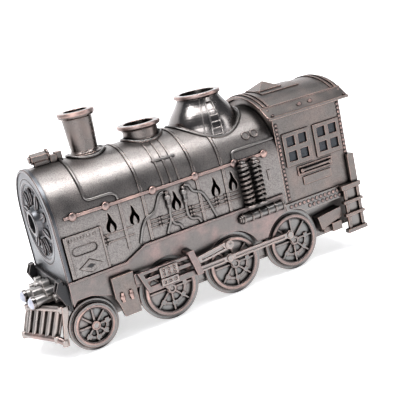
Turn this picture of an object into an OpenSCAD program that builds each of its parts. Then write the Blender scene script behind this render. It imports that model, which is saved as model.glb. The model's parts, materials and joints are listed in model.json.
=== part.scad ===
// Clockwork toy steam locomotive.
// +Z is up, the nose points along -X, and the left side of the locomotive faces -Y.
// The origin is on the floor, under the middle of the locomotive. Millimetres.

/* [Boiler] */
// Outer radius of the boiler
boiler_r = 40.9; // [40.8:0.1:41]
// Height of the boiler axis above the floor
boiler_z = 100; // [99.8:0.1:100.2]
// Thickness of the pressed shell
wall = 1.6; // [1.4:0.1:1.6]
// Distance from the middle of the locomotive to the smokebox front
nose_x = 119.4; // [119.2:0.1:119.6]
// How far the pressed bands stand out of the shell
band_h = 0.7; // [0.4:0.1:0.8]

/* [Wheels] */
// Flange radius of the driving wheels
driver_flange_r = 25.7; // [25.6:0.1:25.8]
// Tread radius of the driving wheels
driver_tread_r = 21.7; // [21:0.1:22]
// Distance between two driving axles
driver_pitch = 59; // [58.9:0.1:59.1]
// Flange radius of the pilot wheels
pilot_flange_r = 20.1; // [19.8:0.1:20.2]
// Number of spokes on every wheel
spokes = 8; // [6:1:9]
// Distance from an axle to its crank pins
crank_throw = 9; // [8.5:0.1:9.2]
// Radius of the axles
axle_r = 2; // [1.8:0.1:2.1]
// Radial clearance of every running fit
fit = 0.05; // [0.03:0.01:0.08]

/* [Cab] */
// Distance from the middle of the locomotive to the rear face of the cab
cab_rear = 146; // [145.8:0.1:146.2]
// Height of the roof at its ridge
ridge_z = 149.3; // [149:0.1:149.5]
// Half width of the roof over the eaves
eave_y = 45; // [44.8:0.1:45.2]

/* [Motor] */
// Teeth of the great wheel
great_teeth = 50; // [50]
// Teeth of the intermediate pinion and of the governor pinion
pinion_teeth = 10; // [10]
// Teeth of the intermediate wheel
inter_teeth = 40; // [40]
// Teeth of the gear on the driven axle
axle_teeth = 16; // [16]
// Tooth module of the great wheel and its pinion
great_module = 1; // [1]
// Tooth module of the intermediate wheel and the gears it turns
inter_module = 0.8; // [0.8]

/* [Hidden] */
$fn = 64;

eps = 0.01;
gunmetal = "dimgray";
copper = "rosybrown";
steel = "lightsteelblue";
brass = "goldenrod";

// ---- layers, from the middle of the locomotive outwards ----
frame_in = 30.8;            // side frames
frame_out = 33.6;
wheel_back = 34.3;          // wheels
flange_face = 37.2;
tread_face = 40.5;
web_face = 38;
hub_face = 41.6;
shell_y = boiler_r;         // flat sides of boiler and cab
skirt_y = 42.2;             // valance and sills
rod_in = 42.7;              // coupling rods
rod_out = 44.9;
pin_head_y = 45.9;
guide_in = 46.3;            // fixed motion work
guide_out = 49.3;
trim_y = 51.8;

// ---- heights and lengths ----
shell_bottom = 56;
deck_z = 57.6;
belt_z = 105.3;
cab_front = 77.6;
pilot_x = -107;
driver2_x = 18.1;
driver_x = [driver2_x - driver_pitch, driver2_x, driver2_x + driver_pitch];
driver_z = driver_flange_r;
left_crank = 126;
right_crank = 36;
arch_r = driver_flange_r + 0.9;
valance_bottom = 36.5;
frame_bottom = 20.5;
cab_wall_top = 130.2;
eave_z = 131;
kink_y = 34;
kink_z = 139;
chimney_x = -68.4;
sand_x = -19.8;
dome_x = 36.8;

// ---- motor ----
inter_angle = 116.5;
great_angle = 113.6;
governor_angle = 11.5;
inter_reach = inter_module * (inter_teeth + axle_teeth) / 2;
great_reach = great_module * (great_teeth + pinion_teeth) / 2;
governor_reach = inter_module * (inter_teeth + pinion_teeth) / 2;
inter_x = driver2_x + inter_reach * cos(inter_angle);
inter_z = driver_z + inter_reach * sin(inter_angle);
arbor_x = inter_x + great_reach * cos(great_angle);
arbor_z = inter_z + great_reach * sin(great_angle);
governor_x = inter_x + governor_reach * cos(governor_angle);
governor_z = inter_z + governor_reach * sin(governor_angle);
inter_phase = inter_angle + 180;
governor_turn = (governor_angle - inter_phase + 720) % (360 / inter_teeth);
plate_in = 11.4;
plate_out = 12.6;
arbor_r = 2.5;
small_shaft_r = 1.2;
lever_x = 86;
lever_z = 40;
pillar_spots = [[-35, 66], [27, 66], [-44, 44], [80, 44]];

// ---- helpers ----
module both_sides() {
    children();
    mirror([0, 1, 0]) children();
}

module block(x, y, z) {
    translate([x[0], y[0], z[0]]) cube([x[1] - x[0], y[1] - y[0], z[1] - z[0]]);
}

module rod_x(x, y, z, r) {
    translate([x[0], y, z]) rotate([0, 90, 0]) cylinder(h = x[1] - x[0], r = r);
}

module rod_y(x, y, z, r) {
    translate([x, y[0], z]) rotate([-90, 0, 0]) cylinder(h = y[1] - y[0], r = r);
}

module rod_z(x, y, z, r) {
    translate([x, y, z[0]]) cylinder(h = z[1] - z[0], r = r);
}

// A flat plate drawn in X and Z, between two values of Y.
module plate(y) {
    translate([0, y[1], 0]) rotate([90, 0, 0]) linear_extrude(y[1] - y[0]) children();
}

// A section drawn in Y and Z, between two values of X.
module section(x) {
    translate([x[0], 0, 0]) rotate([90, 0, 90]) linear_extrude(x[1] - x[0]) children();
}

// A round bar from one point to the next.
module bar(a, b, r) {
    d = b - a;
    translate(a)
        rotate([0, acos(d[2] / norm(d)), atan2(d[1], d[0])])
            cylinder(h = norm(d), r = r);
}

module path(points, r) {
    for (i = [0 : len(points) - 2]) bar(points[i], points[i + 1], r);
}

// A round-headed stud of radius r and height h that stands on z = 0.
module stud(r, h) {
    big = (r * r + h * h) / (2 * h);
    rotate_extrude()
        intersection() {
            translate([0, h - big]) circle(big);
            square([r, h]);
        }
}

// Studs on the left face at y = -face.
module side_stud(x, face, z, r, h) {
    translate([x, -face, z]) rotate([90, 0, 0]) stud(r, h);
}

// The boiler outline in Y and Z: a round top on flat sides that reach down to the bottom.
module boiler_outline(r, bottom) {
    translate([0, boiler_z]) circle(r, $fn = 128);
    translate([-r, bottom]) square([2 * r, boiler_z - bottom]);
}

// How far out the boiler side is at height z.
function boiler_side(z, r) = z > boiler_z ? sqrt(r * r - pow(z - boiler_z, 2)) : r;

// Points on a cubic curve.
function curve(a, b, c, d, n) = [
    for (i = [0 : n - 1])
        let (t = i / n)
            pow(1 - t, 3) * a + 3 * t * pow(1 - t, 2) * b + 3 * t * t * (1 - t) * c + pow(t, 3) * d
];

// ---- gears ----
pressure = 20;
tooth_backlash = 0.12;
function roll(r, rb) = sqrt(max(0, pow(r / rb, 2) - 1));
function unwrap(r, rb) = roll(r, rb) * 180 / PI - atan(roll(r, rb));
function polar(r, a) = [r * cos(a), r * sin(a)];

module gear_outline(teeth, mod, phase) {
    rp = teeth * mod / 2;
    rb = rp * cos(pressure);
    tip = rp + 0.62 * mod;
    root = rp - 0.95 * mod;
    start = max(rb, root);
    half = 90 / teeth - tooth_backlash / rp * 90 / PI;
    steps = 4;
    flank = [
        for (i = [0 : steps])
            let (r = start + (tip - start) * i / steps)
                [r, half + unwrap(rp, rb) - unwrap(r, rb)]
    ];
    polygon([
        for (k = [0 : teeth - 1])
            let (a = phase + k * 360 / teeth)
                each concat(
                    [polar(root, a - flank[0][1] - 1)],
                    [for (i = [0 : steps]) polar(flank[i][0], a - flank[i][1])],
                    [for (i = [steps : -1 : 0]) polar(flank[i][0], a + flank[i][1])],
                    [polar(root, a + flank[0][1] + 1)]
                )
    ]);
}

// ---- boiler ----
flame_x = [-76.4, -57.1, -20.9, 14.9, 31.2];
flame_z = 84;
flame_h = 16;
band_x = [-47, 0, 24.5];

// A flame with a notch in its foot. The middle of the foot is at the origin.
module flame() {
    tip = [-0.8, flame_h];
    notch = [0.2, 7.4];
    difference() {
        polygon(concat(
            curve([0, 0], [-6, 0.2], [-4.6, 7], [-1.9, 9.4], 8),
            curve([-1.9, 9.4], [-0.4, 11.2], [-1.4, 13.4], tip, 6),
            curve(tip, [2.4, 12], [0.8, 10.6], [3, 7.6], 8),
            curve([3, 7.6], [5, 4.6], [4.4, 0], [0, 0], 8)
        ));
        polygon(concat(
            curve([-0.9, -1], [-2.4, 2.6], [-1.2, 4.6], notch, 6),
            curve(notch, [1.6, 5], [2.6, 2.6], [0.9, -1], 6)
        ));
    }
}

module band(x, width) {
    section([x - width / 2, x + width / 2])
        difference() {
            boiler_outline(boiler_r + band_h, 68);
            boiler_outline(boiler_r - eps, 0);
        }
}

module boiler_shell() {
    color(gunmetal) difference() {
        union() {
            section([-nose_x + 3, cab_front])
                difference() {
                    boiler_outline(boiler_r, shell_bottom);
                    boiler_outline(boiler_r - wall, shell_bottom - 1);
                }
            for (x = band_x) band(x, 2.2);
            for (x = [-27.8, -20.9, -13.9])
                intersection() {
                    band(x, 1.4);
                    block([-30, -10], [-boiler_r - 1, boiler_r + 1], [belt_z, 137]);
                }
            both_sides() {
                intersection() {
                    band(-66.5, 2);
                    block([-70, -60], [-boiler_r - 1, 0], [68, belt_z]);
                }
                for (x = [54.5, 62.5])
                    translate([x, 0, boiler_z])
                        rotate([90 - 33, 0, 0])
                            translate([0, 0, boiler_r - 0.8])
                                difference() {
                                    cylinder(h = 1.8, r = 3.6);
                                    translate([0, 0, 1.3]) cylinder(h = 1, r = 2.6);
                                }
                block([64, 66.6], [-boiler_r - 0.7, -boiler_r + 0.5], [82.5, 91]);
            }
            rod_y(arbor_x, [boiler_r - 1, boiler_r + 1], arbor_z, 6.5);
        }
        both_sides()
            for (x = flame_x)
                translate([x, 0, flame_z]) plate([-boiler_r - 2, -boiler_r + 3]) flame();
        rod_y(arbor_x, [boiler_r - 3, boiler_r + 3], arbor_z, 3.8);
        for (p = [[chimney_x, 9], [sand_x, 11], [dome_x, 15]])
            rod_z(p[0], 0, [boiler_z + 20, boiler_z + 60], p[1]);
    }
}

module smokebox_front() {
    color(copper) difference() {
        union() {
            section([-nose_x, -nose_x + 3]) boiler_outline(boiler_r + 0.8, shell_bottom);
            section([-nose_x - 0.6, -nose_x]) difference() {
                boiler_outline(boiler_r + 0.2, shell_bottom);
                boiler_outline(boiler_r - 1.4, shell_bottom + 2);
            }
        }
        rod_x([-nose_x - 1, -nose_x + 4], 0, boiler_z, 34.3);
    }
}

// The smokebox door: a dished disc with a ring of plain leaves about a hollow hub.
module smokebox_door() {
    leaves = 10;
    field = 2;
    color(gunmetal) difference() {
        union() {
            translate([-nose_x + 2.9, 0, boiler_z])
                rotate([0, -90, 0])
                    rotate_extrude($fn = 128)
                        polygon([
                            [0, 0], [34.2, 0], [34.2, 2.6], [33.2, 3.2], [31.4, 3.2], [30.6, field],
                            [12.2, field], [11.4, 3.2], [10.6, 6.4], [9.6, 7.2], [0, 7.2]
                        ]);
            for (i = [0 : leaves - 1])
                translate([-nose_x + 2.9 - field + 0.3, 0, boiler_z])
                    rotate([i * 360 / leaves, 0, 0])
                        translate([0, 0, 20.6])
                            rotate([0, -90, 0])
                                linear_extrude(1.6)
                                    intersection() {
                                        translate([0, -5]) circle(8.6);
                                        translate([0, 5]) circle(8.6);
                                    }
        }
        rod_x([-nose_x - 8, -nose_x + 1.4], 0, boiler_z, 7.8);
    }
}

// ---- fittings on top of the boiler ----
// Keeps what stands outside the boiler.
module seated(r) {
    difference() {
        children();
        section([-nose_x, cab_front + 10]) translate([0, boiler_z]) circle(r, $fn = 128);
    }
}

// A thin flange that follows the boiler under a round fitting.
module saddle(x, r, thick) {
    intersection() {
        rod_z(x, 0, [boiler_z + 10, boiler_z + 60], r);
        section([x - r - 1, x + r + 1])
            difference() {
                translate([0, boiler_z]) circle(boiler_r + thick, $fn = 128);
                translate([0, boiler_z]) circle(boiler_r, $fn = 128);
            }
    }
}

module turned(x, z) {
    translate([x, 0, z]) rotate_extrude($fn = 96) children();
}

module chimney() {
    color(gunmetal) difference() {
        union() {
            seated(boiler_r)
                turned(chimney_x, 130)
                    polygon([
                        [0, 0], [14.2, 0], [14.2, 10.4], [13.6, 11.4], [11.6, 12.2],
                        [10.6, 13.6], [11.9, 38.8], [12.8, 39.4], [13.9, 39.8], [14.3, 40.8],
                        [14.3, 42.6], [13.8, 43.8], [13, 44.2], [0, 44.2]
                    ]);
            saddle(chimney_x, 15.6, 1);
        }
        rod_z(chimney_x, 0, [boiler_z + 25, 180], 9.4);
    }
}

module sand_dome() {
    color(gunmetal) difference() {
        union() {
            seated(boiler_r)
                turned(sand_x, 130)
                    polygon([
                        [0, 0], [15, 0], [15, 9.8], [14.2, 10.6], [14.2, 17.6], [15.2, 18.2],
                        [16.8, 18.7], [17.3, 19.6], [17.3, 21], [16.6, 22], [0, 22]
                    ]);
            saddle(sand_x, 17.2, 1);
        }
        rod_z(sand_x, 0, [boiler_z + 25, 160], 12.2);
    }
}

dome_top = 162.6;
dome_profile = concat(
    curve([30.5, 118], [30.5, 134], [30.2, 138], [27.6, 143], 8),
    curve([27.6, 143], [24.4, 149.5], [20.2, 152], [17.4, 158.6], 8),
    [[17.4, 158.6], [18.8, 159.6], [19.3, 160.4], [19.3, 161.6], [18.6, dome_top]]
);

module steam_dome() {
    mouth_r = 14.6;
    color("silver") difference() {
        union() {
            seated(boiler_r)
                turned(dome_x, 0)
                    polygon(concat(
                        dome_profile,
                        [[mouth_r, dome_top], [mouth_r, 158], [20, 150], [24, 142], [27, 134], [27, 118]]
                    ));
            saddle(dome_x, 31.6, 1);
        }
        band(band_x[2], 2.3);
        rod_z(dome_x, 0, [boiler_z + 15, 140.5], 22);
        rod_z(dome_x, 0, [boiler_z + 25, 170], mouth_r);
    }
}

module whistle_unit() {
    color(copper) seated(boiler_r) {
        translate([-112, 0, 147])
            rotate([0, 90, 0])
                cylinder(h = 14.5, r = 4.1, $fn = 6);
        rod_x([-113.6, -112], 0, 147, 2.6);
        rod_x([-99, -97.5], 0, 147.8, 4.6);
        block([-110, -99], [-2.6, 2.6], [130, 144.6]);
        block([-97.5, -92.6], [-3.6, 2.6], [130, 146.8]);
        block([-92.6, -87.6], [-2.2, 3.8], [130, 147.8]);
    }
}

module belt_rails() {
    color(copper) both_sides()
        block([-110.6, 67], [-boiler_r - 1.1, -boiler_side(belt_z, boiler_r)], [belt_z - 1.1, belt_z + 1.1]);
}

module belt_bolts() {
    color(copper) both_sides()
        for (x = [-103.8, -77.3, -38, -0.7, 35.2, 63.5])
            side_stud(x, boiler_r + 1.1, belt_z, 3.2, 0.9);
}

// Relief pipes on the flat left side, drawn in X and Z from one point to the next.
module stroke(points, r) {
    for (i = [0 : len(points) - 2]) {
        d = points[i + 1] - points[i];
        translate(points[i]) rotate(atan2(d[1], d[0])) translate([0, -r]) square([norm(d), 2 * r]);
    }
    for (p = points) translate(p) circle(r + 0.1, $fn = 32);
}

side_pipe_r = 1.1;
module left_pipes() {
    low = 69.3;
    plate([-boiler_r - 1.5, -boiler_r]) {
        stroke([[-30.6, 101], [-33.8, 99.5], [-40.4, 88.3], [-48.7, 86.1], [-52.6, 80.6], [-57.2, low]], side_pipe_r);
        stroke([[-28, 87], [-29.3, 78], [-34.2, low]], side_pipe_r);
        stroke([[-26.4, 75.6], [-25.2, 73.2], [-20.6, low]], side_pipe_r);
        stroke([[-11, 101], [-7.7, 97.5], [-4.7, 93.8], [1.6, 92.6], [5, 86.3], [10.8, low]], side_pipe_r);
        stroke([[-13.5, 87], [-13.9, 77.5], [-10, 74.2], [-4.2, low]], side_pipe_r);
    }
    plate([-boiler_r - 0.8, -boiler_r])
        for (z = [83, 80.2, 77.2]) stroke([[-46.5, z], [35, z - 0.6]], 0.7);
    plate([-boiler_r - 0.8, -boiler_r])
        for (z = [83.3, 77.4]) stroke([[-84, z + 0.5], [-60, z + 0.1]], 0.8);
    plate([-boiler_r - 1.2, -boiler_r])
        for (x = [-83, -36.8, -7, 14, 22.6]) stroke([[x, 84.6], [x - 0.2, 75]], 1.2);
    for (x = [-27.6, -13.2]) {
        rod_z(x, -boiler_r - 1, [88.4, 97.6], 1.9);
        rod_z(x, -boiler_r - 1, [96.4, 99], 2.6);
        block([x - 0.6, x + 0.6], [-boiler_r - 1, -boiler_r], [87, 99.4]);
    }
}

// The feed pipe comes down the boiler side from the whistle, and another ends at the cab.
module left_feed_pipes() {
    pipe_y = [-boiler_side(113, boiler_r) - 1.7, -boiler_side(113, boiler_r) + 1.2];
    section([-91.9, -89.7])
        intersection() {
            difference() {
                translate([0, boiler_z]) circle(boiler_r + 1.5, $fn = 128);
                translate([0, boiler_z]) circle(boiler_r, $fn = 128);
            }
            translate([-boiler_r - 2, 112]) square([boiler_r - 2, 40]);
        }
    plate(pipe_y) stroke([[-90, 112.6], [-70, 113], [-67.2, 111.4], [-66.5, 107.8]], side_pipe_r);
    plate(pipe_y) stroke([[36, 109.8], [37.4, 112.8], [40.5, 114.4], [cab_front - 1.4, 114.8]], side_pipe_r);
}

module side_pipework() {
    color(gunmetal) {
        left_pipes();
        left_feed_pipes();
        difference() {
            mirror([0, 1, 0]) left_pipes();
            rod_y(arbor_x, [boiler_r - 3, boiler_r + 5], arbor_z, 14);
        }
        mirror([0, 1, 0]) left_feed_pipes();
    }
}

module step_panels() {
    x0 = -115;
    x1 = -85;
    color("gray") both_sides() {
        difference() {
            block([x0, x1], [-shell_y - 1.4, -shell_y], [59.9, 92]);
            plate([-shell_y - 2, -shell_y - 0.8]) {
                for (x = [-107.6, -94.4]) translate([x, 79.3]) circle(3.4);
                translate([-107.6, 75.9]) square([13.2, 6.8]);
            }
        }
        block([x0 - 0.6, x0 + 1.8], [-shell_y - 2.6, -shell_y - 1.4], [60.4, 92]);
        block([x1 - 1.4, x1], [-shell_y - 2, -shell_y - 1.4], [60.4, 92]);
        plate([-shell_y - 2.1, -shell_y - 1.4])
            polygon([[-108.6, 66], [-99.6, 61.4], [-90.6, 66], [-99.6, 71.2]]);
        for (x = [-110.4 : 4.8 : -90]) side_stud(x, shell_y + 1.4, 88.6, 1.5, 1.1);
    }
}

// Two upright coil springs on studs at each side, each coil drawn as a stack of rings.
spring_x = [40.5, 51.5];
spring_y = 45.8;
module side_springs() {
    coil_r = 3.9;
    wire_r = 0.95;
    turns = 10;
    color(copper) both_sides()
        for (x = spring_x) {
            rod_z(x, -spring_y, [67.9, 104.2], 2.6);
            translate([x, -spring_y, 104.2]) stud(2.4, 1.6);
            for (i = [0 : turns - 1])
                translate([x, -spring_y, 71 + i * 3.1])
                    rotate_extrude() translate([coil_r - 0.6, 0]) circle(wire_r + 0.3, $fn = 16);
            for (z = [69, 86, 102.4]) {
                rod_z(x, -spring_y, [z - 0.8, z + 0.8], 4.6);
                block([x - 1.6, x + 1.6], [-spring_y, -shell_y], [z - 0.8, z + 0.8]);
            }
        }
}

// ---- cab ----
pane_size = [8.3, 8.4];
pane_z = [91.1, 103.8];
window_x = [83.5, 114.6];

// The roof outline in Y and Z, drawn "inset" inside the outer face.
module roof_outline(inset) {
    sag = ridge_z - kink_z;
    arch = (kink_y * kink_y + sag * sag) / (2 * sag);
    intersection() {
        translate([0, ridge_z - arch]) circle(arch - inset, $fn = 256);
        translate([-kink_y, kink_z - 4]) square([2 * kink_y, 20]);
    }
    polygon([
        [-eave_y + inset, eave_z - inset], [eave_y - inset, eave_z - inset],
        [kink_y - inset / 2, kink_z - inset], [-kink_y + inset / 2, kink_z - inset]
    ]);
}

module panes() {
    for (x = window_x, i = [0, 1], z = pane_z)
        translate([x + 3.3 + i * 11.9, z]) square(pane_size);
}

module cab_shell() {
    floor_top = deck_z + 1.4;
    door_y = 17;
    color(copper) difference() {
        union() {
            difference() {
                block([cab_front, cab_rear], [-shell_y, shell_y], [shell_bottom, cab_wall_top]);
                block([cab_front + wall, cab_rear - wall], [-shell_y + wall, shell_y - wall], [floor_top, 140]);
                block([cab_front - 1, 144.4], [-39.2, 39.2], [50, deck_z]);
            }
            for (x = [cab_front, cab_rear - wall])
                section([x, x + wall])
                    intersection() {
                        roof_outline(2.2);
                        translate([-shell_y + 2, cab_wall_top - 1]) square([2 * shell_y - 4, 20]);
                    }
        }
        both_sides() plate([-shell_y - 1, -shell_y + 0.7]) panes();
        block([cab_rear - 3, cab_rear + 1], [-door_y, door_y], [floor_top, 118]);
        block([lever_x - 3, lever_x + 14], [10.6, 16.4], [deck_z - 1, floor_top + 1]);
        rod_x([cab_front - 1, cab_front + 3], 0, 88, 8);
    }
}

module cab_roof() {
    roof_x = [73, 153.9];
    color(copper) {
        section(roof_x) difference() {
            roof_outline(0);
            roof_outline(2.2);
            translate([-eave_y, 100]) square([2 * eave_y, eave_z - 100]);
        }
        both_sides() block(roof_x, [-eave_y - 0.5, -eave_y + 2.4], [eave_z - 1.2, eave_z + 1]);
        for (x = [76.5, 80.5, 145.5, 149.5])
            section([x, x + 1.6])
                intersection() {
                    difference() {
                        roof_outline(-1);
                        roof_outline(0);
                    }
                    translate([-kink_y, kink_z]) square([2 * kink_y, 20]);
                }
        both_sides() block(roof_x, [-kink_y - 0.9, -kink_y + 0.7], [kink_z - 0.6, kink_z + 0.6]);
    }
}

module roof_vent() {
    middle = 100.6;
    half = 11.3;
    plinth_top = ridge_z + 0.9;
    color(copper) {
        section([middle - half - 1.2, 126])
            intersection() {
                difference() {
                    roof_outline(-0.9);
                    roof_outline(0);
                }
                translate([-16.5, kink_z]) square([33, 20]);
            }
        difference() {
            block([middle - half, middle + half], [-half, half], [145, plinth_top]);
            section([80, 130]) roof_outline(0);
        }
        translate([middle, 0, plinth_top])
            rotate([0, 0, 45])
                cylinder(h = 6, r1 = (half - 1) * sqrt(2), r2 = 0.3, $fn = 4);
    }
}

module window_frames() {
    color("gray") both_sides()
        plate([-shell_y - 1.3, -shell_y])
            difference() {
                for (x = window_x) translate([x, 87.5]) square([26.8, 27.8]);
                panes();
            }
}

module body_rivets() {
    face = shell_y;
    color(copper) both_sides() {
        for (z = [61 : 3.5 : 124]) side_stud(80.2, face, z, 1.2, 0.9);
        for (z = [84.5 : 3.5 : 126.5]) side_stud(143.6, face, z, 1.2, 0.9);
        for (i = [0 : 11]) side_stud(79.8 + i * 4.36, skirt_y, 54.4, 1.2, 0.9);
        for (i = [0 : 7]) side_stud(98 + i * 4.5, skirt_y, 50.1, 1.2, 0.9);
        for (x = [107, 118]) skirt_stud(x, 0.5, 1.8);
        for (x = [78, 151], t = [0.2, 0.75]) skirt_stud(x, t, 1.1);
    }
}

// A stud on the sloping roof skirt, t of the way from the eave to the kink.
module skirt_stud(x, t, r) {
    slope = atan2(kink_z - eave_z, eave_y - kink_y);
    translate([x, -eave_y + t * (eave_y - kink_y), eave_z + t * (kink_z - eave_z)])
        rotate([slope, 0, 0])
            stud(r, r * 0.7);
}

module cab_handrails() {
    color(copper) both_sides() {
        plate([-shell_y - 1, -shell_y])
            difference() {
                translate([93, 77.6]) square([35.5, 7.4]);
                translate([94.2, 78.8]) square([33.1, 5]);
            }
        rod_x([96, 125.6], -shell_y - 1.9, 81.3, 1);
        for (x = [96.4, 125.2]) rod_y(x, [-shell_y - 2.9, -shell_y], 81.3, 1.5);
        block([97, 125.5], [-shell_y - 0.9, -shell_y], [68.6, 75.2]);
    }
}

module rear_posts() {
    color(copper) both_sides() {
        block([142.6, 149.4], [-44.6, -shell_y], [57.8, 82]);
        block([cab_rear, 149.4], [-shell_y, -37], [57.8, 82]);
    }
}

module arch(x) {
    translate([x, driver_z]) circle(arch_r);
}

module cab_sills() {
    color(copper) both_sides()
        plate([-skirt_y, -shell_y])
            difference() {
                translate([74.6, 47]) square([58.4, deck_z - 47]);
                arch(driver_x[2]);
            }
}

// The long plate under the boiler, cut around the wheels.
module valance() {
    plate([-skirt_y, -shell_y])
        difference() {
            polygon([
                [-119.8, 58.8], [-72.2, 59.1], [-54.8, 67.4], [74.2, 67.8], [74.2, 50],
                [56, valance_bottom], [-62, valance_bottom], [-88, 38], [-105, 43.7],
                [-116.1, 44], [-119.8, 40]
            ]);
            for (x = driver_x) arch(x);
        }
    plate([-skirt_y - 0.8, -skirt_y])
        polygon([
            [-119.8, 58.8], [-72.2, 59.1], [-54.8, 67.4], [74.2, 67.8],
            [74.2, 66.2], [-54.4, 65.8], [-71.8, 57.5], [-119.8, 57.2]
        ]);
}

module valance_left() {
    color(copper) difference() {
        valance();
        front_plate_seat(boiler_r + 0.85);
    }
}

module valance_right() {
    color(copper) difference() {
        mirror([0, 1, 0]) valance();
        front_plate_seat(boiler_r + 0.85);
    }
}

module ribbed_tanks() {
    tank_y = 43.6;
    tank_z = 59.6;
    color("silver") both_sides()
        difference() {
            union() {
                rod_x([30, 72], -tank_y, tank_z, 3.4);
                rod_x([28.6, 30], -tank_y, tank_z, 2.6);
                for (x = [32.4 : 7.6 : 71]) rod_x([x - 0.7, x + 0.7], -tank_y, tank_z, 4.2);
            }
            block([20, 80], [-skirt_y, 0], [50, 66.2]);
        }
}

module cab_ladders() {
    rail_x = [132, 145.6];
    color(copper) both_sides() {
        for (x = rail_x) block([x, x + 3], [-45.8, -43.4], [16, 57]);
        for (z = [31, 42.3]) block([129.4, 149.8], [-47.4, -43], [z - 1.2, z + 1.2]);
        block([129.4, 149.8], [-47.4, -42.2], [15.2, 18.4]);
        block([129.4, 149.8], [-47.4, -skirt_y], [53.6, 57.4]);
        block([133.1, 147], [-43.4, -frame_out], [51, 53.6]);
    }
}

module under_cab_boxes() {
    color("slategray") both_sides() {
        plate([-42, -frame_out]) polygon([[103.8, 37], [128.6, 39.6], [128.6, 31], [106.4, 25]]);
        block([116.6, 126.4], [-43.2, -frame_out], [20.6, 28]);
        block([109, 116.6], [-40.4, -frame_out], [21.4, 25.4]);
    }
}

// ---- motion work that is fixed to the frame ----
module bracket_plates() {
    color(copper) both_sides()
        plate([-46.2, -skirt_y])
            polygon([[-88.6, 52], [-70.6, 52], [-70.6, 19.7], [-84.2, 19.7], [-86.4, 30], [-88.6, 36]]);
}

module bracket_bolts() {
    color(copper) both_sides()
        for (x = [-83.2, -76]) {
            translate([x, -46.2, 35.2]) rotate([90, 0, 0]) stud(2.2, 1.8);
            block([x - 1, x + 1], [-47.4, -46.2], [31.5, 39]);
        }
}

module guide_boxes() {
    color("gray") both_sides() {
        plate([-guide_out, -guide_in])
            difference() {
                polygon([[-68.6, 49.2], [-21.4, 49.2], [-17.4, 31.4], [-62.4, 31.4]]);
                polygon([[-64, 46.8], [-22.4, 46.8], [-21.8, 43.4], [-62.9, 43.4]]);
                polygon([[-62, 40.4], [-21, 40.4], [-20, 36], [-60.6, 36]]);
            }
        block([-70.6, -64], [-46.2, -43.2], [41, 49]);
        block([-70.6, -64], [-47, -46.2], [41, 49]);
    }
}

module crossheads() {
    color("gray") both_sides() {
        block([-51, -35.8], [-guide_out - 1.4, -guide_out], [39.4, 47.6]);
        block([-51.6, -37], [-guide_out - 2, -guide_out], [33.4, 38.8]);
        for (x = [-48 : 4.6 : -38], z = [45.4, 41.6]) side_stud(x, guide_out + 1.4, z, 0.9, 0.6);
        for (x = [-48.8 : 4.6 : -39]) side_stud(x, guide_out + 2, 36, 0.9, 0.4);
    }
}

module motion_brackets() {
    color(copper) both_sides() {
        plate([-trim_y, -guide_out]) polygon([[-26, 52.4], [-20.6, 52.4], [-15.4, 31.8], [-20.8, 31.8]]);
        block([-26, -20.6], [-guide_out, -skirt_y], [49.6, 52.4]);
    }
}

module upper_rods() {
    end = [12.4, 45.4];
    color("gray") both_sides() {
        difference() {
            union() {
                plate([-guide_out, -guide_in])
                    polygon([[-20, 44.6], [9, 48.3], [end[0], 42.4], [-8, 40], [-19, 39.6]]);
                rod_y(end[0], [-guide_out - 0.6, -guide_in], end[1], 3.6);
            }
            plate([-guide_out - 0.3, -guide_out + 0.7])
                polygon([[-14, 43.4], [6, 46.2], [8, 43.6], [-8, 41.6], [-14, 41.3]]);
        }
        side_stud(end[0], guide_out + 0.6, end[1], 2, 1);
    }
}

// ---- front end ----
// The foot and head rails of the pilot, from the middle to the left.
pilot_foot = [[-151.4, 0, 18.6], [-135.4, -31, 17.4], [-131.4, -35.4, 13.8]];
pilot_head = [[-143.6, 0, 38.4], [-127, -33.5, 39]];
function full_width(points) = concat(
    [for (i = [len(points) - 1 : -1 : 1]) [points[i][0], -points[i][1], points[i][2]]],
    points
);

module pilot() {
    bars = 5;
    rail_r = 2.4;
    boss_r = 2.6;
    bar_r = 2.1;
    rails = [full_width(pilot_foot), full_width(pilot_head)];
    color(copper) {
        for (rail = rails) path(rail, rail_r);
        for (rail = rails, p = rail) rod_z(p[0], p[1], [p[2] - boss_r + 0.1, p[2] + boss_r - 0.1], boss_r);
        both_sides()
            for (i = [0.5 : 1 : bars]) {
                t = i / bars;
                bar(
                    pilot_foot[0] + t * (pilot_foot[1] - pilot_foot[0]),
                    pilot_head[0] + t * (pilot_head[1] - pilot_head[0]),
                    bar_r
                );
            }
        translate([0, 0, 37.2])
            linear_extrude(1.8)
                polygon([[-143.6, 0], [-127, 34.4], [-122.6, 34.4], [-122.6, -34.4], [-127, -34.4]]);
        both_sides()
            plate([-37, -34.4])
                polygon([[-133, 11.4], [-128.8, 11.4], [-127.9, 24], [-124.5, 33], [-122.6, 41], [-127.4, 41]]);
    }
}

module front_beam() {
    wing = [
        [-122.6, 61.4], [-125.8, 60.6], [-129.2, 53.8], [-126.2, 46.6], [-124.2, 41.4], [-122.6, 41.4]
    ];
    color(gunmetal) {
        difference() {
            block([-122.6, -119.8], [-38.6, 38.6], [36.6, 57.4]);
            front_plate_seat(boiler_r + 1);
        }
        both_sides()
            difference() {
                plate([-38.6, -31.2]) polygon(wing);
                block([-131, -123.8], [-37.2, -32.6], [42.6, 60]);
            }
    }
}

lamp_y = 11.6;
lamp_z = 43.9;
module lamp_barrels() {
    color("gray") {
        for (y = [-lamp_y, lamp_y]) {
            rod_x([-142.2, -122.6], y, lamp_z, 4.6);
            rod_x([-131, -122.6], y, lamp_z + 4, 4.6);
        }
        rod_x([-138, -122.6], 0, 46.6, 4.4);
        rod_x([-129, -122.6], 0, 50.6, 4.4);
        rod_x([-133.6, -122.6], 23, 45.2, 3.4);
        rod_x([-127.6, -122.6], 23, 49, 3.4);
        rod_x([-127.6, -122.6], -23, 45.2, 3.4);
    }
}

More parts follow.
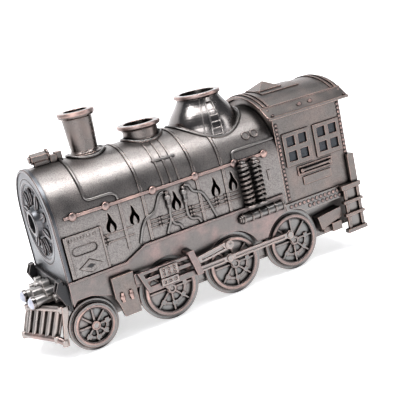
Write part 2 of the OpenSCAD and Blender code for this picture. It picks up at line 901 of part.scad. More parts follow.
module lenses() {
    color("white", 0.8)
        for (y = [-lamp_y, lamp_y])
            translate([-142.2, y, lamp_z]) rotate([0, -90, 0]) stud(4.9, 3.4);
}

// ---- frame ----
// The space that the smokebox front plate takes out of its neighbours.
module front_plate_seat(reach) {
    block([-nose_x - 0.65, -nose_x + 3.05], [-reach, reach], [shell_bottom - 0.05, shell_bottom + 5]);
}

module main_frame() {
    deck = 1.6;
    slot_x = [-46, 40];
    color("slategray") difference() {
        union() {
            block([-119.8, 144.4], [-39.2, 39.2], [deck_z - deck, deck_z]);
            both_sides() {
                plate([-frame_out, -frame_in])
                    polygon([
                        [-119.8, deck_z - deck], [144.4, deck_z - deck], [144.4, frame_bottom],
                        [-92, frame_bottom], [-96, 14.6], [-116, 14.6], [-119.8, 24]
                    ]);
            }
            block([-119.8, -117.6], [-frame_in, frame_in], [28, deck_z - deck]);
            block([142, 144.4], [-frame_in, frame_in], [frame_bottom, deck_z - deck]);
        }
        front_plate_seat(boiler_r + 1);
        block(slot_x, [-16, 16], [deck_z - 4, deck_z + 1]);
        block([lever_x - 3, lever_x + 14], [10.6, 16.4], [deck_z - 4, deck_z + 1]);
        rod_y(pilot_x, [-40, 40], pilot_flange_r, axle_r + fit);
        for (x = driver_x) rod_y(x, [-40, 40], driver_z, axle_r + fit);
    }
}

drawbar_hole = [147.5, 2.1];
module base_plate() {
    floor_z = 16.9;
    thick = 1.2;
    color("slategray") difference() {
        union() {
            block([-64, 128], [-frame_in, frame_in], [floor_z, floor_z + thick]);
            both_sides() block([-64, 128], [-frame_in, -frame_in + 1.2], [floor_z, 25]);
            block([124, drawbar_hole[0]], [-6, 6], [floor_z, floor_z + 2.6]);
            rod_z(drawbar_hole[0], 0, [floor_z, floor_z + 2.6], 6);
        }
        rod_z(drawbar_hole[0], 0, [10, 30], drawbar_hole[1]);
        both_sides()
            for (x = driver_x) block([x - 3, x + 3], [-frame_in - 1, -frame_in + 3], [23, 30]);
    }
}

// ---- clockwork motor ----
module motor_plates() {
    color("silver") difference() {
        both_sides()
            plate([-plate_out, -plate_in])
                polygon([
                    [-48, 18.1], [92, 18.1], [92, 48], [38, 48], [36, 76], [20, 92],
                    [-26, 92], [-42, 76], [-44, 48], [-48, 48]
                ]);
        for (x = driver_x) rod_y(x, [-20, 20], driver_z, axle_r + fit);
        rod_y(arbor_x, [-20, 20], arbor_z, arbor_r + fit);
        rod_y(inter_x, [-20, 20], inter_z, small_shaft_r + fit);
        rod_y(governor_x, [-20, 20], governor_z, small_shaft_r + fit);
        rod_y(lever_x, [0, 20], lever_z, small_shaft_r + fit);
    }
}

module motor_pillars() {
    color(brass)
        for (p = pillar_spots) rod_y(p[0], [-plate_in, plate_in], p[1], 1.8);
}

// The mainspring: a flat strip wound in a spiral whose tail reaches a pillar.
module mainspring() {
    turns = 7;
    inner = 4;
    outer = 19.6;
    strip = 0.5;
    tail = pillar_spots[1] - [arbor_x, arbor_z];
    tail_angle = atan2(tail[1], tail[0]);
    tail_sweep = 60;
    sweep = 360 * turns;
    step = 15;
    function reach(a) = a > -tail_sweep
        ? outer + (norm(tail) - 1.8 - outer) * (a + tail_sweep) / tail_sweep
        : inner + (outer - inner) * (a + sweep) / (sweep - tail_sweep);
    color("steelblue")
        translate([arbor_x, 0, arbor_z])
            plate([-2.8, 9.6])
                polygon(concat(
                    [for (a = [-sweep : step : 0]) polar(reach(a), a + tail_angle)],
                    [for (a = [0 : -step : -sweep]) polar(reach(a) - strip, a + tail_angle)]
                ));
}

// The click hangs on the great wheel, and points at the ratchet on the arbor.
click_reach = 11.5;
click_spot = [arbor_x + click_reach, arbor_z];
click_tip_r = 7.4;
click_tip_angle = 40;
click_pin_r = 0.9;

module great_wheel() {
    color(brass) difference() {
        translate([arbor_x, 0, arbor_z])
            plate([-9, -6.5])
                difference() {
                    gear_outline(great_teeth, great_module, great_angle + 180);
                    for (a = [36 : 72 : 324]) translate(polar(16.6, a)) circle(4.6);
                }
        rod_y(arbor_x, [-10, 0], arbor_z, arbor_r + fit);
        rod_y(click_spot[0], [-10, 0], click_spot[1], click_pin_r + fit);
    }
}

module click() {
    tip = polar(click_tip_r, click_tip_angle) - [click_reach, 0];
    span = norm(tip);
    color("silver") {
        translate([click_spot[0], 0, click_spot[1]])
            plate([-6.3, -5.1])
                rotate(atan2(tip[1], tip[0]))
                    polygon([[span, 0], [span - 1.6, -1.2], [0, -1.5], [-1.5, -0.6], [-1.5, 0.6], [0, 1]]);
        rod_y(click_spot[0], [-9, -6.3], click_spot[1], click_pin_r);
    }
}

module winding_arbor() {
    ratchet_teeth = 12;
    pitch = 360 / ratchet_teeth;
    first = 41;
    color(steel) {
        rod_y(arbor_x, [-13.4, 44], arbor_z, arbor_r);
        translate([arbor_x, 0, arbor_z])
            plate([-6.2, -4.7])
                polygon([
                    for (i = [0 : ratchet_teeth - 1])
                        each [polar(5.5, first + i * pitch), polar(7, first + i * pitch + 2)]
                ]);
    }
}

module winding_key() {
    wing_r = 4.2;
    color(brass) difference() {
        union() {
            rod_y(arbor_x, [37, 46], arbor_z, 3.4);
            for (side = [-1, 1])
                translate([arbor_x + side * 7, trim_y - wing_r, arbor_z - 0.8])
                    linear_extrude(1.6)
                        difference() {
                            circle(wing_r);
                            circle(1.9);
                        }
            block([arbor_x - 6, arbor_x + 6], [43.6, 47], [arbor_z - 0.8, arbor_z + 0.8]);
        }
        rod_y(arbor_x, [36, 44], arbor_z, arbor_r);
        for (side = [-1, 1])
            translate([arbor_x + side * 7, trim_y - wing_r, arbor_z - 1])
                cylinder(h = 2, r = 1.9);
    }
}

module intermediate_gear() {
    color(brass) {
        rod_y(inter_x, [-13, 13], inter_z, small_shaft_r);
        translate([inter_x, 0, inter_z]) {
            plate([-9.2, -6.2])
                difference() {
                    gear_outline(pinion_teeth, great_module, great_angle + 180 / pinion_teeth);
                    circle(small_shaft_r);
                }
            plate([-4.8, -3.5])
                difference() {
                    gear_outline(inter_teeth, inter_module, inter_phase);
                    circle(small_shaft_r);
                    for (a = [0 : 72 : 288]) translate(polar(9.6, a)) circle(3);
                }
            plate([-6.2, -4.8])
                difference() {
                    circle(2.8);
                    circle(small_shaft_r);
                }
        }
    }
}

module governor() {
    vane = 6;
    phase = governor_angle + 180 + 180 / pinion_teeth + governor_turn * inter_teeth / pinion_teeth;
    color(brass) {
        rod_y(governor_x, [-13, 13], governor_z, small_shaft_r);
        translate([governor_x, 0, governor_z])
            plate([-5, -3.3])
                difference() {
                    gear_outline(pinion_teeth, inter_module, phase);
                    circle(small_shaft_r);
                }
        difference() {
            union() {
                block([governor_x - vane, governor_x + vane], [-1.6, 8.6], [governor_z - 0.5, governor_z + 0.5]);
                rod_y(governor_x, [-1.6, 8.6], governor_z, 2);
            }
            rod_y(governor_x, [-2, 9], governor_z, small_shaft_r);
        }
    }
}

module stop_lever() {
    knob = [92.4, 84];
    color(steel) {
        plate([13, 14.2])
            polygon([
                [lever_x - 2.4, lever_z - 2.6], [lever_x + 2.6, lever_z - 2.6],
                [knob[0] + 1.5, knob[1]], [knob[0] - 1.5, knob[1]]
            ]);
        rod_y(lever_x, [plate_in, 13], lever_z, small_shaft_r);
        translate([knob[0], 13.6, knob[1] + 2.2]) sphere(2.8);
    }
}

// ---- wheels and rods ----
// A spoked wheel on the left side: flange, tread, web, spokes, hub and a toothed inner arc.
module wheel_body(flange_r, tread_r, hub_r) {
    rim_r = tread_r - 3.1;
    arc_r = tread_r * 0.58;
    plate([-flange_face, -wheel_back]) circle(flange_r, $fn = 128);
    plate([-flange_face - 0.6, -flange_face]) circle(tread_r + 1.2, $fn = 128);
    plate([-tread_face, -flange_face - 0.6])
        difference() {
            circle(tread_r, $fn = 128);
            circle(rim_r, $fn = 96);
        }
    plate([-web_face, -flange_face - 0.6]) circle(rim_r + eps, $fn = 96);
    plate([-tread_face + 0.7, -web_face])
        intersection() {
            circle(rim_r);
            for (i = [0 : spokes - 1]) rotate(i * 360 / spokes) translate([0, -0.65]) square([tread_r, 1.3]);
        }
    plate([-web_face - 1.1, -web_face])
        intersection() {
            difference() {
                circle(arc_r + 1);
                circle(arc_r - 1);
            }
            polygon([[0, 0], polar(40, -128), polar(50, -75), polar(50, -30), polar(40, 8)]);
        }
    for (i = [-3 : 0])
        plate([-web_face - 1.8, -web_face])
            rotate(i * 45 + 3) translate([arc_r - 1.7, -1.9]) square([3.4, 3.8]);
    plate([-hub_face, -web_face]) circle(hub_r);
}

module driver_body(crank_angle) {
    pin = polar(crank_throw, crank_angle);
    difference() {
        union() {
            wheel_body(driver_flange_r, driver_tread_r, 3.9);
            plate([-rod_in + 0.3, -web_face]) {
                circle(3.2);
                translate(pin) circle(3.2);
                rotate(crank_angle) translate([0, -2.4]) square([crank_throw, 4.8]);
            }
        }
        plate([-50, -30]) circle(axle_r);
        plate([-50, -30]) translate(pin) circle(pin_r);
    }
}

pin_r = 1.6;
// The wheels and the pins of one axle share its crank angles.
module left_driver(i) {
    color(steel) translate([driver_x[i], 0, driver_z]) driver_body(left_crank);
}

module right_driver(i) {
    color(steel) translate([driver_x[i], 0, driver_z]) mirror([0, 1, 0]) driver_body(right_crank);
}

module crank_pin(crank_angle) {
    pin = polar(crank_throw, crank_angle);
    plate([-rod_out - 0.1, -wheel_back]) translate(pin) circle(pin_r);
    plate([-pin_head_y + 0.2, -rod_out - 0.1]) translate(pin) circle(2.5);
}

module axle_and_pins(i) {
    color(copper) translate([driver_x[i], 0, driver_z]) {
        rod_y(0, [-hub_face, hub_face], 0, axle_r);
        crank_pin(left_crank);
        mirror([0, 1, 0]) crank_pin(right_crank);
    }
}

module pilot_wheels() {
    color(steel) translate([pilot_x, 0, pilot_flange_r])
        both_sides()
            difference() {
                wheel_body(pilot_flange_r, 17, 3.4);
                plate([-50, -30]) circle(axle_r);
            }
}

module pilot_axle() {
    color(copper) rod_y(pilot_x, [-hub_face, hub_face], pilot_flange_r, axle_r);
}

module driver1_wheel_left() left_driver(0);
module driver2_wheel_left() left_driver(1);
module driver3_wheel_left() left_driver(2);
module driver1_wheel_right() right_driver(0);
module driver2_wheel_right() right_driver(1);
module driver3_wheel_right() right_driver(2);
module driver1_axle_and_pins() axle_and_pins(0);

module driver2_axle_and_pins() {
    axle_and_pins(1);
    color(brass) translate([driver_x[1], 0, driver_z])
        plate([-5, -3.3])
            difference() {
                gear_outline(axle_teeth, inter_module, inter_angle + 180 / axle_teeth);
                circle(axle_r);
            }
}

module driver3_axle_and_pins() axle_and_pins(2);

// A fluted rod that joins the three crank pins of one side.
module coupling_rod(crank_angle) {
    eye_r = 3.5;
    bar_h = 4.4;
    end = len(driver_x) - 1;
    color(copper) translate([0, 0, driver_z])
        difference() {
            translate([crank_throw * cos(crank_angle), 0, crank_throw * sin(crank_angle)]) {
                plate([-rod_out, -rod_in])
                    translate([driver_x[0], -bar_h / 2])
                        square([driver_x[end] - driver_x[0], bar_h]);
                plate([-rod_out, -rod_in]) for (x = driver_x) translate([x, 0]) circle(eye_r);
            }
            plate([-50, -40]) for (x = driver_x) translate([x, 0] + polar(crank_throw, crank_angle)) circle(pin_r + fit);
            translate([crank_throw * cos(crank_angle), 0, crank_throw * sin(crank_angle)])
                plate([-50, -rod_out + 0.5])
                    for (i = [0 : end - 1])
                        translate([driver_x[i] + 5.5, -0.8]) square([driver_pitch - 11, 1.6]);
        }
}

module coupling_rod_left() coupling_rod(left_crank);
module coupling_rod_right() mirror([0, 1, 0]) coupling_rod(right_crank);

boiler_shell();
smokebox_front();
smokebox_door();
chimney();
sand_dome();
steam_dome();
whistle_unit();
belt_rails();
belt_bolts();
side_pipework();
step_panels();
side_springs();
cab_shell();
cab_roof();
roof_vent();
window_frames();
body_rivets();
cab_handrails();
rear_posts();
cab_sills();
valance_left();
valance_right();
ribbed_tanks();
cab_ladders();
under_cab_boxes();
bracket_plates();
bracket_bolts();
guide_boxes();
crossheads();
motion_brackets();
upper_rods();
pilot();
front_beam();
lamp_barrels();
lenses();
main_frame();
base_plate();
motor_plates();
motor_pillars();
mainspring();
great_wheel();
click();
winding_arbor();
winding_key();
intermediate_gear();
governor();
stop_lever();
pilot_wheels();
pilot_axle();
driver1_wheel_left();
driver1_wheel_right();
driver1_axle_and_pins();
driver2_wheel_left();
driver2_wheel_right();
driver2_axle_and_pins();
driver3_wheel_left();
driver3_wheel_right();
driver3_axle_and_pins();
coupling_rod_left();
coupling_rod_right();
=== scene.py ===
"""Looks for a clockwork toy steam locomotive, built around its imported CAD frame.

+Z is up, the nose points along -X, and the left side faces -Y. Sizes are in millimetres until a
mesh is made. The studio at the end is in metres.
"""

import json
import math

import bmesh
import bpy
from mathutils import Matrix, Vector


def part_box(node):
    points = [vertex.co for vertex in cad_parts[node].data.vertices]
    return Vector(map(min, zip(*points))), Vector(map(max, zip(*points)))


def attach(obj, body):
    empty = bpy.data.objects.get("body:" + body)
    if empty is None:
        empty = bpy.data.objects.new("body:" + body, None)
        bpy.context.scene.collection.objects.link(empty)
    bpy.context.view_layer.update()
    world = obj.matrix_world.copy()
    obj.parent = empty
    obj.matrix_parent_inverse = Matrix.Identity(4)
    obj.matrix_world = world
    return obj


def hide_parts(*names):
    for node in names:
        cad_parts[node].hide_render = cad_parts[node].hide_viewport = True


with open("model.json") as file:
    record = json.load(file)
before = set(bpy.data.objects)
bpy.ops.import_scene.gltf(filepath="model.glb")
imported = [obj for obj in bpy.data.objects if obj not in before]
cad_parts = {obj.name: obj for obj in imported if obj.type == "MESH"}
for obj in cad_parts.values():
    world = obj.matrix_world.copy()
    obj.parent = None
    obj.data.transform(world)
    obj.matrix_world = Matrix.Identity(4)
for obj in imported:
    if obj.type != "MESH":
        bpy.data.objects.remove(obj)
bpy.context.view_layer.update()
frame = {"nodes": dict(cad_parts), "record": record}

MM = 0.001
CHASSIS = "chassis"
SIDES = (-1, 1)
SIDE_WORDS = {-1: "left", 1: "right"}

# The boiler is a half round top on flat sides. The key's boss stands out of its right side.
KEY_BOSS = 1.0
BOILER_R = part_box("boiler_shell")[1].y / MM - KEY_BOSS
BOILER_Z = 100.0
NOSE_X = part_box("smokebox_door")[0].x / MM
CHIMNEY_X, SAND_X, DOME_X = -68.4, -19.8, 36.8


# ---------------------------------------------------------------- materials
class Nodes:
    """A material's node tree, with short calls for the nodes used here."""

    def __init__(self, name):
        self.material = bpy.data.materials.new(name)
        self.material.use_nodes = True
        self.tree = self.material.node_tree
        self.shader = self.tree.nodes["Principled BSDF"]
        self.coords = self.add("ShaderNodeTexCoord").outputs["Object"]

    def add(self, kind, **settings):
        node = self.tree.nodes.new(kind)
        for key, value in settings.items():
            setattr(node, key, value)
        return node

    def link(self, source, socket):
        """Joins an output to a socket, or sets the socket to a number or colour."""
        if isinstance(source, bpy.types.NodeSocket):
            self.tree.links.new(source, socket)
        else:
            socket.default_value = source

    def set(self, **values):
        """Sets or links the shader's own inputs, with _ for a space in a name."""
        for key, value in values.items():
            self.link(value, self.shader.inputs[key.replace("_", " ")])

    def noise(self, scale, detail=3.0, rough=0.6, stretch=(1, 1, 1)):
        mapping = self.add("ShaderNodeMapping")
        mapping.inputs["Scale"].default_value = stretch
        self.link(self.coords, mapping.inputs["Vector"])
        node = self.add("ShaderNodeTexNoise")
        node.inputs["Scale"].default_value = scale
        node.inputs["Detail"].default_value = detail
        node.inputs["Roughness"].default_value = rough
        self.link(mapping.outputs["Vector"], node.inputs["Vector"])
        return node.outputs["Fac"]

    def math(self, operation, a, b, clamp=False):
        node = self.add("ShaderNodeMath", operation=operation, use_clamp=clamp)
        self.link(a, node.inputs[0])
        self.link(b, node.inputs[1])
        return node.outputs[0]

    def span(self, value, low, high, to_low=0.0, to_high=1.0):
        """A smooth step from low to high, spread over to_low to to_high."""
        node = self.add("ShaderNodeMapRange", interpolation_type="SMOOTHSTEP")
        self.link(value, node.inputs["Value"])
        limits = {"From Min": low, "From Max": high, "To Min": to_low, "To Max": to_high}
        for key, number in limits.items():
            node.inputs[key].default_value = number
        return node.outputs["Result"]

    def mix(self, factor, a, b):
        """A blend of two colours, each a plain colour or the output of another node."""
        node = self.add("ShaderNodeMix", data_type="RGBA")
        for key, value in (("Factor", factor), ("A", a), ("B", b)):
            self.link(value, node.inputs[key])
        return node.outputs["Result"]


def rgb(r, g, b):
    return (r, g, b, 1.0)


SPECK_COLOUR = rgb(0.02, 0.02, 0.022)
# The near-black colour painted into recesses as shade.
PAINTED_SHADE_COLOUR = rgb(0.008, 0.0075, 0.008)
# In millimetres: how wide the worn edges are, how far the painted shade in recesses reaches, and how
# deep the grain is.
EDGE_WIDTH, PAINTED_SHADE_REACH, GRAIN_DEPTH = 0.7, 3, 0.12


def plating(name, dark, worn, wear=0.8, rough=0.32, grain=0.25, mottle=0.25, painted_shade=0.95, brushed=None):
    """Antique plating: a dark metal, worn to copper on its edges, with painted shade that turns its
    recesses black.
    """
    m = Nodes(name)
    bevel = m.add("ShaderNodeBevel", samples=6)
    bevel.inputs["Radius"].default_value = EDGE_WIDTH * MM
    normal = m.add("ShaderNodeNewGeometry").outputs["Normal"]
    turn = m.add("ShaderNodeVectorMath", operation="DOT_PRODUCT")
    m.link(bevel.outputs["Normal"], turn.inputs[0])
    m.link(normal, turn.inputs[1])
    edge = m.span(m.math("SUBTRACT", 1.0, turn.outputs["Value"]), 0.004, 0.1)
    shade = m.add("ShaderNodeAmbientOcclusion", samples=8)
    shade.inputs["Distance"].default_value = PAINTED_SHADE_REACH * MM
    open_air = shade.outputs["AO"]
    patches = m.noise(55, 4)
    fine = m.noise(1500, 3)
    grit = m.noise(3500, 2)

    # Colour: copper where an edge is rubbed or a patch is stained, then specks, then painted shade in
    # the recesses.
    touched = m.math("MULTIPLY", edge, m.span(open_air, 0.5, 0.85))
    rub = m.math("MULTIPLY", touched, m.span(fine, 0.25, 0.6, 0.5, 1.0))
    stain = m.math("MULTIPLY", m.span(patches, 0.42, 0.72), mottle)
    worn_mask = m.math("ADD", m.math("MULTIPLY", rub, wear), stain, clamp=True)
    # Painted shade: where ambient occlusion finds a recess, the colour darkens towards near-black.
    painted_recess_shade = m.math("MULTIPLY", m.span(open_air, 0.9, 0.5), painted_shade)
    colour = m.mix(worn_mask, rgb(*dark), rgb(*worn))
    speck = m.math("MULTIPLY", m.span(fine, 0.42, 0.64), grain)
    colour = m.mix(speck, colour, SPECK_COLOUR)
    m.set(Base_Color=m.mix(painted_recess_shade, colour, PAINTED_SHADE_COLOUR), Metallic=1.0)

    # Roughness: duller in the recesses and the specks.
    gloss = m.span(patches, 0.3, 0.7, rough - 0.04, rough + 0.06)
    gloss = m.math("ADD", gloss, m.math("MULTIPLY", painted_recess_shade, 0.3))
    m.set(Roughness=m.math("ADD", gloss, m.math("MULTIPLY", speck, 0.3)))

    # Bump: a fine grain, with turning or brushing marks where asked for.
    height = m.math("ADD", m.math("MULTIPLY", grit, 0.5), fine)
    if brushed:
        height = m.math("ADD", m.math("MULTIPLY", height, 0.4), m.noise(900, 2, 0.5, brushed))
    bump = m.add("ShaderNodeBump")
    bump.inputs["Strength"].default_value = min(1.0, grain * 1.6)
    bump.inputs["Distance"].default_value = GRAIN_DEPTH * MM
    m.link(height, bump.inputs["Height"])
    m.link(bevel.outputs["Normal"], bump.inputs["Normal"])
    m.set(Normal=bump.outputs["Normal"])
    return m.material


def lens_plastic():
    """Milky clear plastic, slightly hazy."""
    m = Nodes("lens_plastic")
    haze = m.noise(250, 3)
    m.set(Base_Color=m.mix(haze, rgb(0.44, 0.46, 0.56), rgb(0.68, 0.69, 0.78)))
    m.set(Roughness=m.span(haze, 0.3, 0.7, 0.06, 0.16), Transmission_Weight=0.25, IOR=1.49)
    return m.material


def dark_glass():
    """Near-black panes with a cloudy film."""
    m = Nodes("window_glass")
    cloud = m.noise(90, 2)
    m.set(Base_Color=m.mix(cloud, rgb(0.012, 0.014, 0.017), rgb(0.05, 0.056, 0.065)))
    m.set(Roughness=m.span(cloud, 0.3, 0.7, 0.16, 0.3), Metallic=0.3)
    return m.material


GUNMETAL = plating(
    "gunmetal", (0.2, 0.192, 0.187), (0.6, 0.45, 0.4), wear=0.75, rough=0.3, grain=0.15, mottle=0.08)
UPRIGHT = plating(
    "turned_gunmetal", (0.155, 0.141, 0.135), (0.66, 0.46, 0.4), wear=0.9, rough=0.25, grain=0.08,
    mottle=0.1, brushed=(1, 1, 0.04))
BOILER = plating(
    "boiler_satin", (0.25, 0.233, 0.225), (0.62, 0.48, 0.43), wear=0.6, rough=0.31, grain=0.4,
    mottle=0.05)
FRONT = plating(
    "front_plate", (0.125, 0.13, 0.14), (0.5, 0.4, 0.37), wear=0.9, rough=0.33, grain=0.15, mottle=0.06)
DARK = plating(
    "dark_steel", (0.06, 0.06, 0.062), (0.36, 0.29, 0.27), wear=0.7, rough=0.4, grain=0.2, mottle=0.05)
COPPER = plating(
    "copper_trim", (0.25, 0.2, 0.19), (0.7, 0.47, 0.41), wear=0.95, rough=0.33, grain=0.12, mottle=0.5)
BRONZE = plating(
    "bronze_body", (0.185, 0.17, 0.162), (0.66, 0.44, 0.38), wear=1.0, rough=0.33, grain=0.25,
    mottle=0.12)
VALANCE = plating(
    "valance_plate", (0.185, 0.172, 0.166), (0.56, 0.37, 0.35), wear=1.0, rough=0.34, grain=0.15,
    mottle=0.3)
PILOT = plating(
    "pilot_plate", (0.3, 0.275, 0.262), (0.7, 0.49, 0.43), wear=0.9, rough=0.3, grain=0.1, mottle=0.2,
    painted_shade=0.7)
SCREEN = plating(
    "pilot_back_plate", (0.3, 0.28, 0.27), (0.6, 0.46, 0.42), wear=0.6, rough=0.4, grain=0.1,
    mottle=0.2, painted_shade=0.25)
ROD = plating(
    "rod_plate", (0.27, 0.255, 0.247), (0.68, 0.47, 0.41), wear=0.9, rough=0.3, grain=0.12, mottle=0.1)
BRIGHT = plating(
    "polished_plate", (0.2, 0.187, 0.183), (0.6, 0.46, 0.4), wear=0.7, rough=0.22, grain=0.03,
    mottle=0.03, painted_shade=0.5)
STRAP = plating(
    "strap_plate", (0.34, 0.32, 0.31), (0.6, 0.48, 0.43), wear=0.3, rough=0.27, grain=0.02,
    mottle=0.03, painted_shade=0.15)
LAMP = plating(
    "lamp_plate", (0.36, 0.345, 0.335), (0.7, 0.58, 0.52), wear=0.6, rough=0.36, grain=0.02, mottle=0.06)
WHEEL = plating(
    "wheel_metal", (0.215, 0.213, 0.21), (0.6, 0.41, 0.36), wear=0.85, rough=0.36, grain=0.2,
    mottle=0.16, painted_shade=0.9)
BRASS = plating(
    "motor_brass", (0.38, 0.285, 0.15), (0.7, 0.54, 0.3), wear=0.5, rough=0.3, mottle=0.2)
SPRING = plating(
    "blued_steel", (0.1, 0.13, 0.2), (0.3, 0.34, 0.42), wear=0.5, rough=0.28, mottle=0.2)
LENS = lens_plastic()
GLASS = dark_glass()

# The finish of each CAD node. A node that isn't here takes its material slot's finish.
NODE_FINISHES = (
    (BOILER, ("boiler_shell", "step_panels")),
    (FRONT, ("smokebox_front", "smokebox_door")),
    (UPRIGHT, ("chimney", "sand_dome")),
    (BRIGHT, ("steam_dome",)),
    (BRONZE, ("whistle_unit", "rear_posts", "bracket_plates", "under_cab_boxes", "cab_handrails")),
    (COPPER, ("belt_rails", "belt_bolts", "body_rivets", "bracket_bolts")),
    (VALANCE, ("valance_left", "valance_right", "motion_brackets", "guide_boxes")),
    (ROD, ("coupling_rod_left", "coupling_rod_right", "crossheads", "upper_rods")),
    (GUNMETAL, ("main_frame", "base_plate", "ribbed_tanks", "cab_sills")),
    (GUNMETAL, ("motor_plates", "stop_lever", "winding_arbor", "click")),
    (DARK, ("front_beam",)),
    (LAMP, ("lamp_barrels",)),
    (PILOT, ("pilot",)),
    (SPRING, ("mainspring",)),
    (LENS, ("lenses",)),
)
NODE_MATERIALS = {node: finish for finish, nodes in NODE_FINISHES for node in nodes}
SLOT_MATERIALS = {
    "gunmetal_shell": GUNMETAL,
    "copper_trim": COPPER,
    "bronze_body": BRONZE,
    "polished_plate": BRIGHT,
    "frame_steel": DARK,
    "wheel_metal": WHEEL,
    "axle_steel": ROD,
    "motor_brass": BRASS,
    "spring_steel": SPRING,
    "lens_glass": LENS,
}
# Nodes made of plates and bars, whose sharp edges are rounded a little.
BOXY = (
    "cab_handrails", "rear_posts", "cab_ladders", "under_cab_boxes", "bracket_plates",
    "guide_boxes", "crossheads", "motion_brackets", "window_frames", "front_beam",
    "valance_left", "valance_right", "belt_rails",
)
WELD_GAP, EDGE_ROUND, SHARP_ANGLE = 0.005, 0.18, 40


def dress_cad():
    """Gives every CAD node its material, and rounds the edges of the boxy ones."""
    slots = {part["node"]: part["material_slot"] for part in frame["record"]["subparts"]}
    for name, obj in frame["nodes"].items():
        obj.data.materials.clear()
        obj.data.materials.append(NODE_MATERIALS.get(name, SLOT_MATERIALS[slots[name]]))
        if name not in BOXY:
            continue
        weld = obj.modifiers.new("weld", "WELD")
        weld.merge_threshold = WELD_GAP * MM
        rounding = obj.modifiers.new("rounding", "BEVEL")
        rounding.width = EDGE_ROUND * MM
        rounding.segments = 2
        rounding.limit_method = "ANGLE"
        rounding.angle_limit = math.radians(SHARP_ANGLE)
        rounding.harden_normals = True


# ---------------------------------------------------------------- mesh helpers
CREASE_ANGLE = 38


def piece(name, mesh_data, material, body=CHASSIS, smooth=True):
    """Turns a bmesh in millimetres into a piece that rides on a body."""
    mesh = bpy.data.meshes.new(name)
    bmesh.ops.recalc_face_normals(mesh_data, faces=mesh_data.faces)
    mesh_data.to_mesh(mesh)
    mesh_data.free()
    mesh.transform(Matrix.Scale(MM, 4))
    obj = bpy.data.objects.new(name, mesh)
    bpy.context.scene.collection.objects.link(obj)
    mesh.materials.append(material)
    if smooth:
        mesh.shade_smooth()
        split = obj.modifiers.new("creases", "EDGE_SPLIT")
        split.split_angle = math.radians(CREASE_ANGLE)
    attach(obj, body)
    return obj


def rounded(points, radius, steps=6):
    """The same path with each corner turned into a curve."""
    points = [Vector(p) for p in points]
    path = [points[0]]
    for before, corner, after in zip(points, points[1:], points[2:]):
        a, b = before - corner, after - corner
        reach = min(radius, a.length * 0.48, b.length * 0.48)
        start, end = corner + a.normalized() * reach, corner + b.normalized() * reach
        for i in range(steps + 1):
            t = i / steps
            path.append((1 - t) ** 2 * start + 2 * t * (1 - t) * corner + t * t * end)
    path.append(points[-1])
    return path


def ring_of(mesh, centre, radius, side, across, sides):
    """New vertices in a circle, in the plane of side and across."""
    turns = [2 * math.pi * k / sides for k in range(sides)]
    spots = [centre + radius * (math.cos(a) * side + math.sin(a) * across) for a in turns]
    return [mesh.verts.new(spot) for spot in spots]


def skin(mesh, rings, closed=False):
    """Faces between each ring of vertices and the next."""
    for one, two in zip(rings, rings[1:] + rings[:1] if closed else rings[1:]):
        for k in range(len(one)):
            n = (k + 1) % len(one)
            mesh.faces.new((one[k], one[n], two[n], two[k]))


def axes(axis):
    """The axis as a unit vector, and two more at right angles to it."""
    axis = Vector(axis).normalized()
    side = axis.orthogonal().normalized()
    return axis, side, axis.cross(side)


def sweep(mesh, path, radius, sides=14, closed=False):
    """Adds a round tube along a path.

    radius is a number, or a function of the place along the path from 0 to 1.
    """
    path = [Vector(p) for p in path]
    last = len(path) - 1
    radius_at = radius if callable(radius) else (lambda t: radius)
    rings, side = [], None
    for i, point in enumerate(path):
        if closed:
            ahead = path[(i + 1) % len(path)] - path[i - 1]
        else:
            ahead = path[min(i + 1, last)] - path[max(i - 1, 0)]
        ahead.normalize()
        if side is None:
            side = ahead.orthogonal().normalized()
        side = (side - ahead * side.dot(ahead)).normalized()
        rings.append(ring_of(mesh, point, radius_at(i / last), side, ahead.cross(side), sides))
    skin(mesh, rings, closed)
    if not closed:
        mesh.faces.new(rings[0][::-1])
        mesh.faces.new(rings[-1])


def turned(mesh, profile, origin, axis=(0, 0, 1), sides=40):
    """Adds a solid of revolution: profile is a list of (radius, height) along axis from origin."""
    axis, side, across = axes(axis)
    rings = []
    for radius, height in profile:
        centre = Vector(origin) + axis * height
        if radius == 0:
            rings.append([mesh.verts.new(centre)])
        else:
            rings.append(ring_of(mesh, centre, radius, side, across, sides))
    for one, two in zip(rings, rings[1:]):
        for k in range(sides):
            n = (k + 1) % sides
            corners = (one[k % len(one)], one[n % len(one)], two[n % len(two)], two[k % len(two)])
            corners = list(dict.fromkeys(corners))
            if len(corners) > 2:
                mesh.faces.new(corners)
    for ring in (rings[0], rings[-1]):
        if len(ring) > 1:
            mesh.faces.new(ring)


def turned_ring(mesh, profile, origin, axis, sides):
    """Like turned, but the profile is closed on itself instead of capped."""
    axis, side, across = axes(axis)
    rings = []
    for radius, height in profile:
        centre = Vector(origin) + axis * height
        rings.append(ring_of(mesh, centre, radius, side, across, sides))
    skin(mesh, rings, closed=True)


def nut(mesh, origin, axis, radius, height, sides=6):
    """Adds a chamfered nut or hexagon head."""
    c = min(0.25, height / 4)
    profile = [(radius - c, 0), (radius, c), (radius, height - c), (radius - c, height)]
    turned(mesh, profile, origin, axis, sides)


def slab(mesh, outline, y0, y1, chamfer=0.25):
    """Adds a plate drawn in X and Z between y0 and y1, with a chamfered outer edge at y1."""
    step = chamfer if y1 > y0 else -chamfer
    count = len(outline)
    centre = Vector((sum(p[0] for p in outline) / count, sum(p[1] for p in outline) / count))
    inner = []
    for p in outline:
        v = Vector(p) - centre
        inner.append(centre + v * max(0, 1 - chamfer / max(v.length, chamfer)))
    layers = ((outline, y0), (outline, y1 - step), (inner, y1))
    rings = [[mesh.verts.new((p[0], y, p[1])) for p in points] for points, y in layers]
    skin(mesh, rings)
    mesh.faces.new(rings[0][::-1])
    mesh.faces.new(rings[-1])


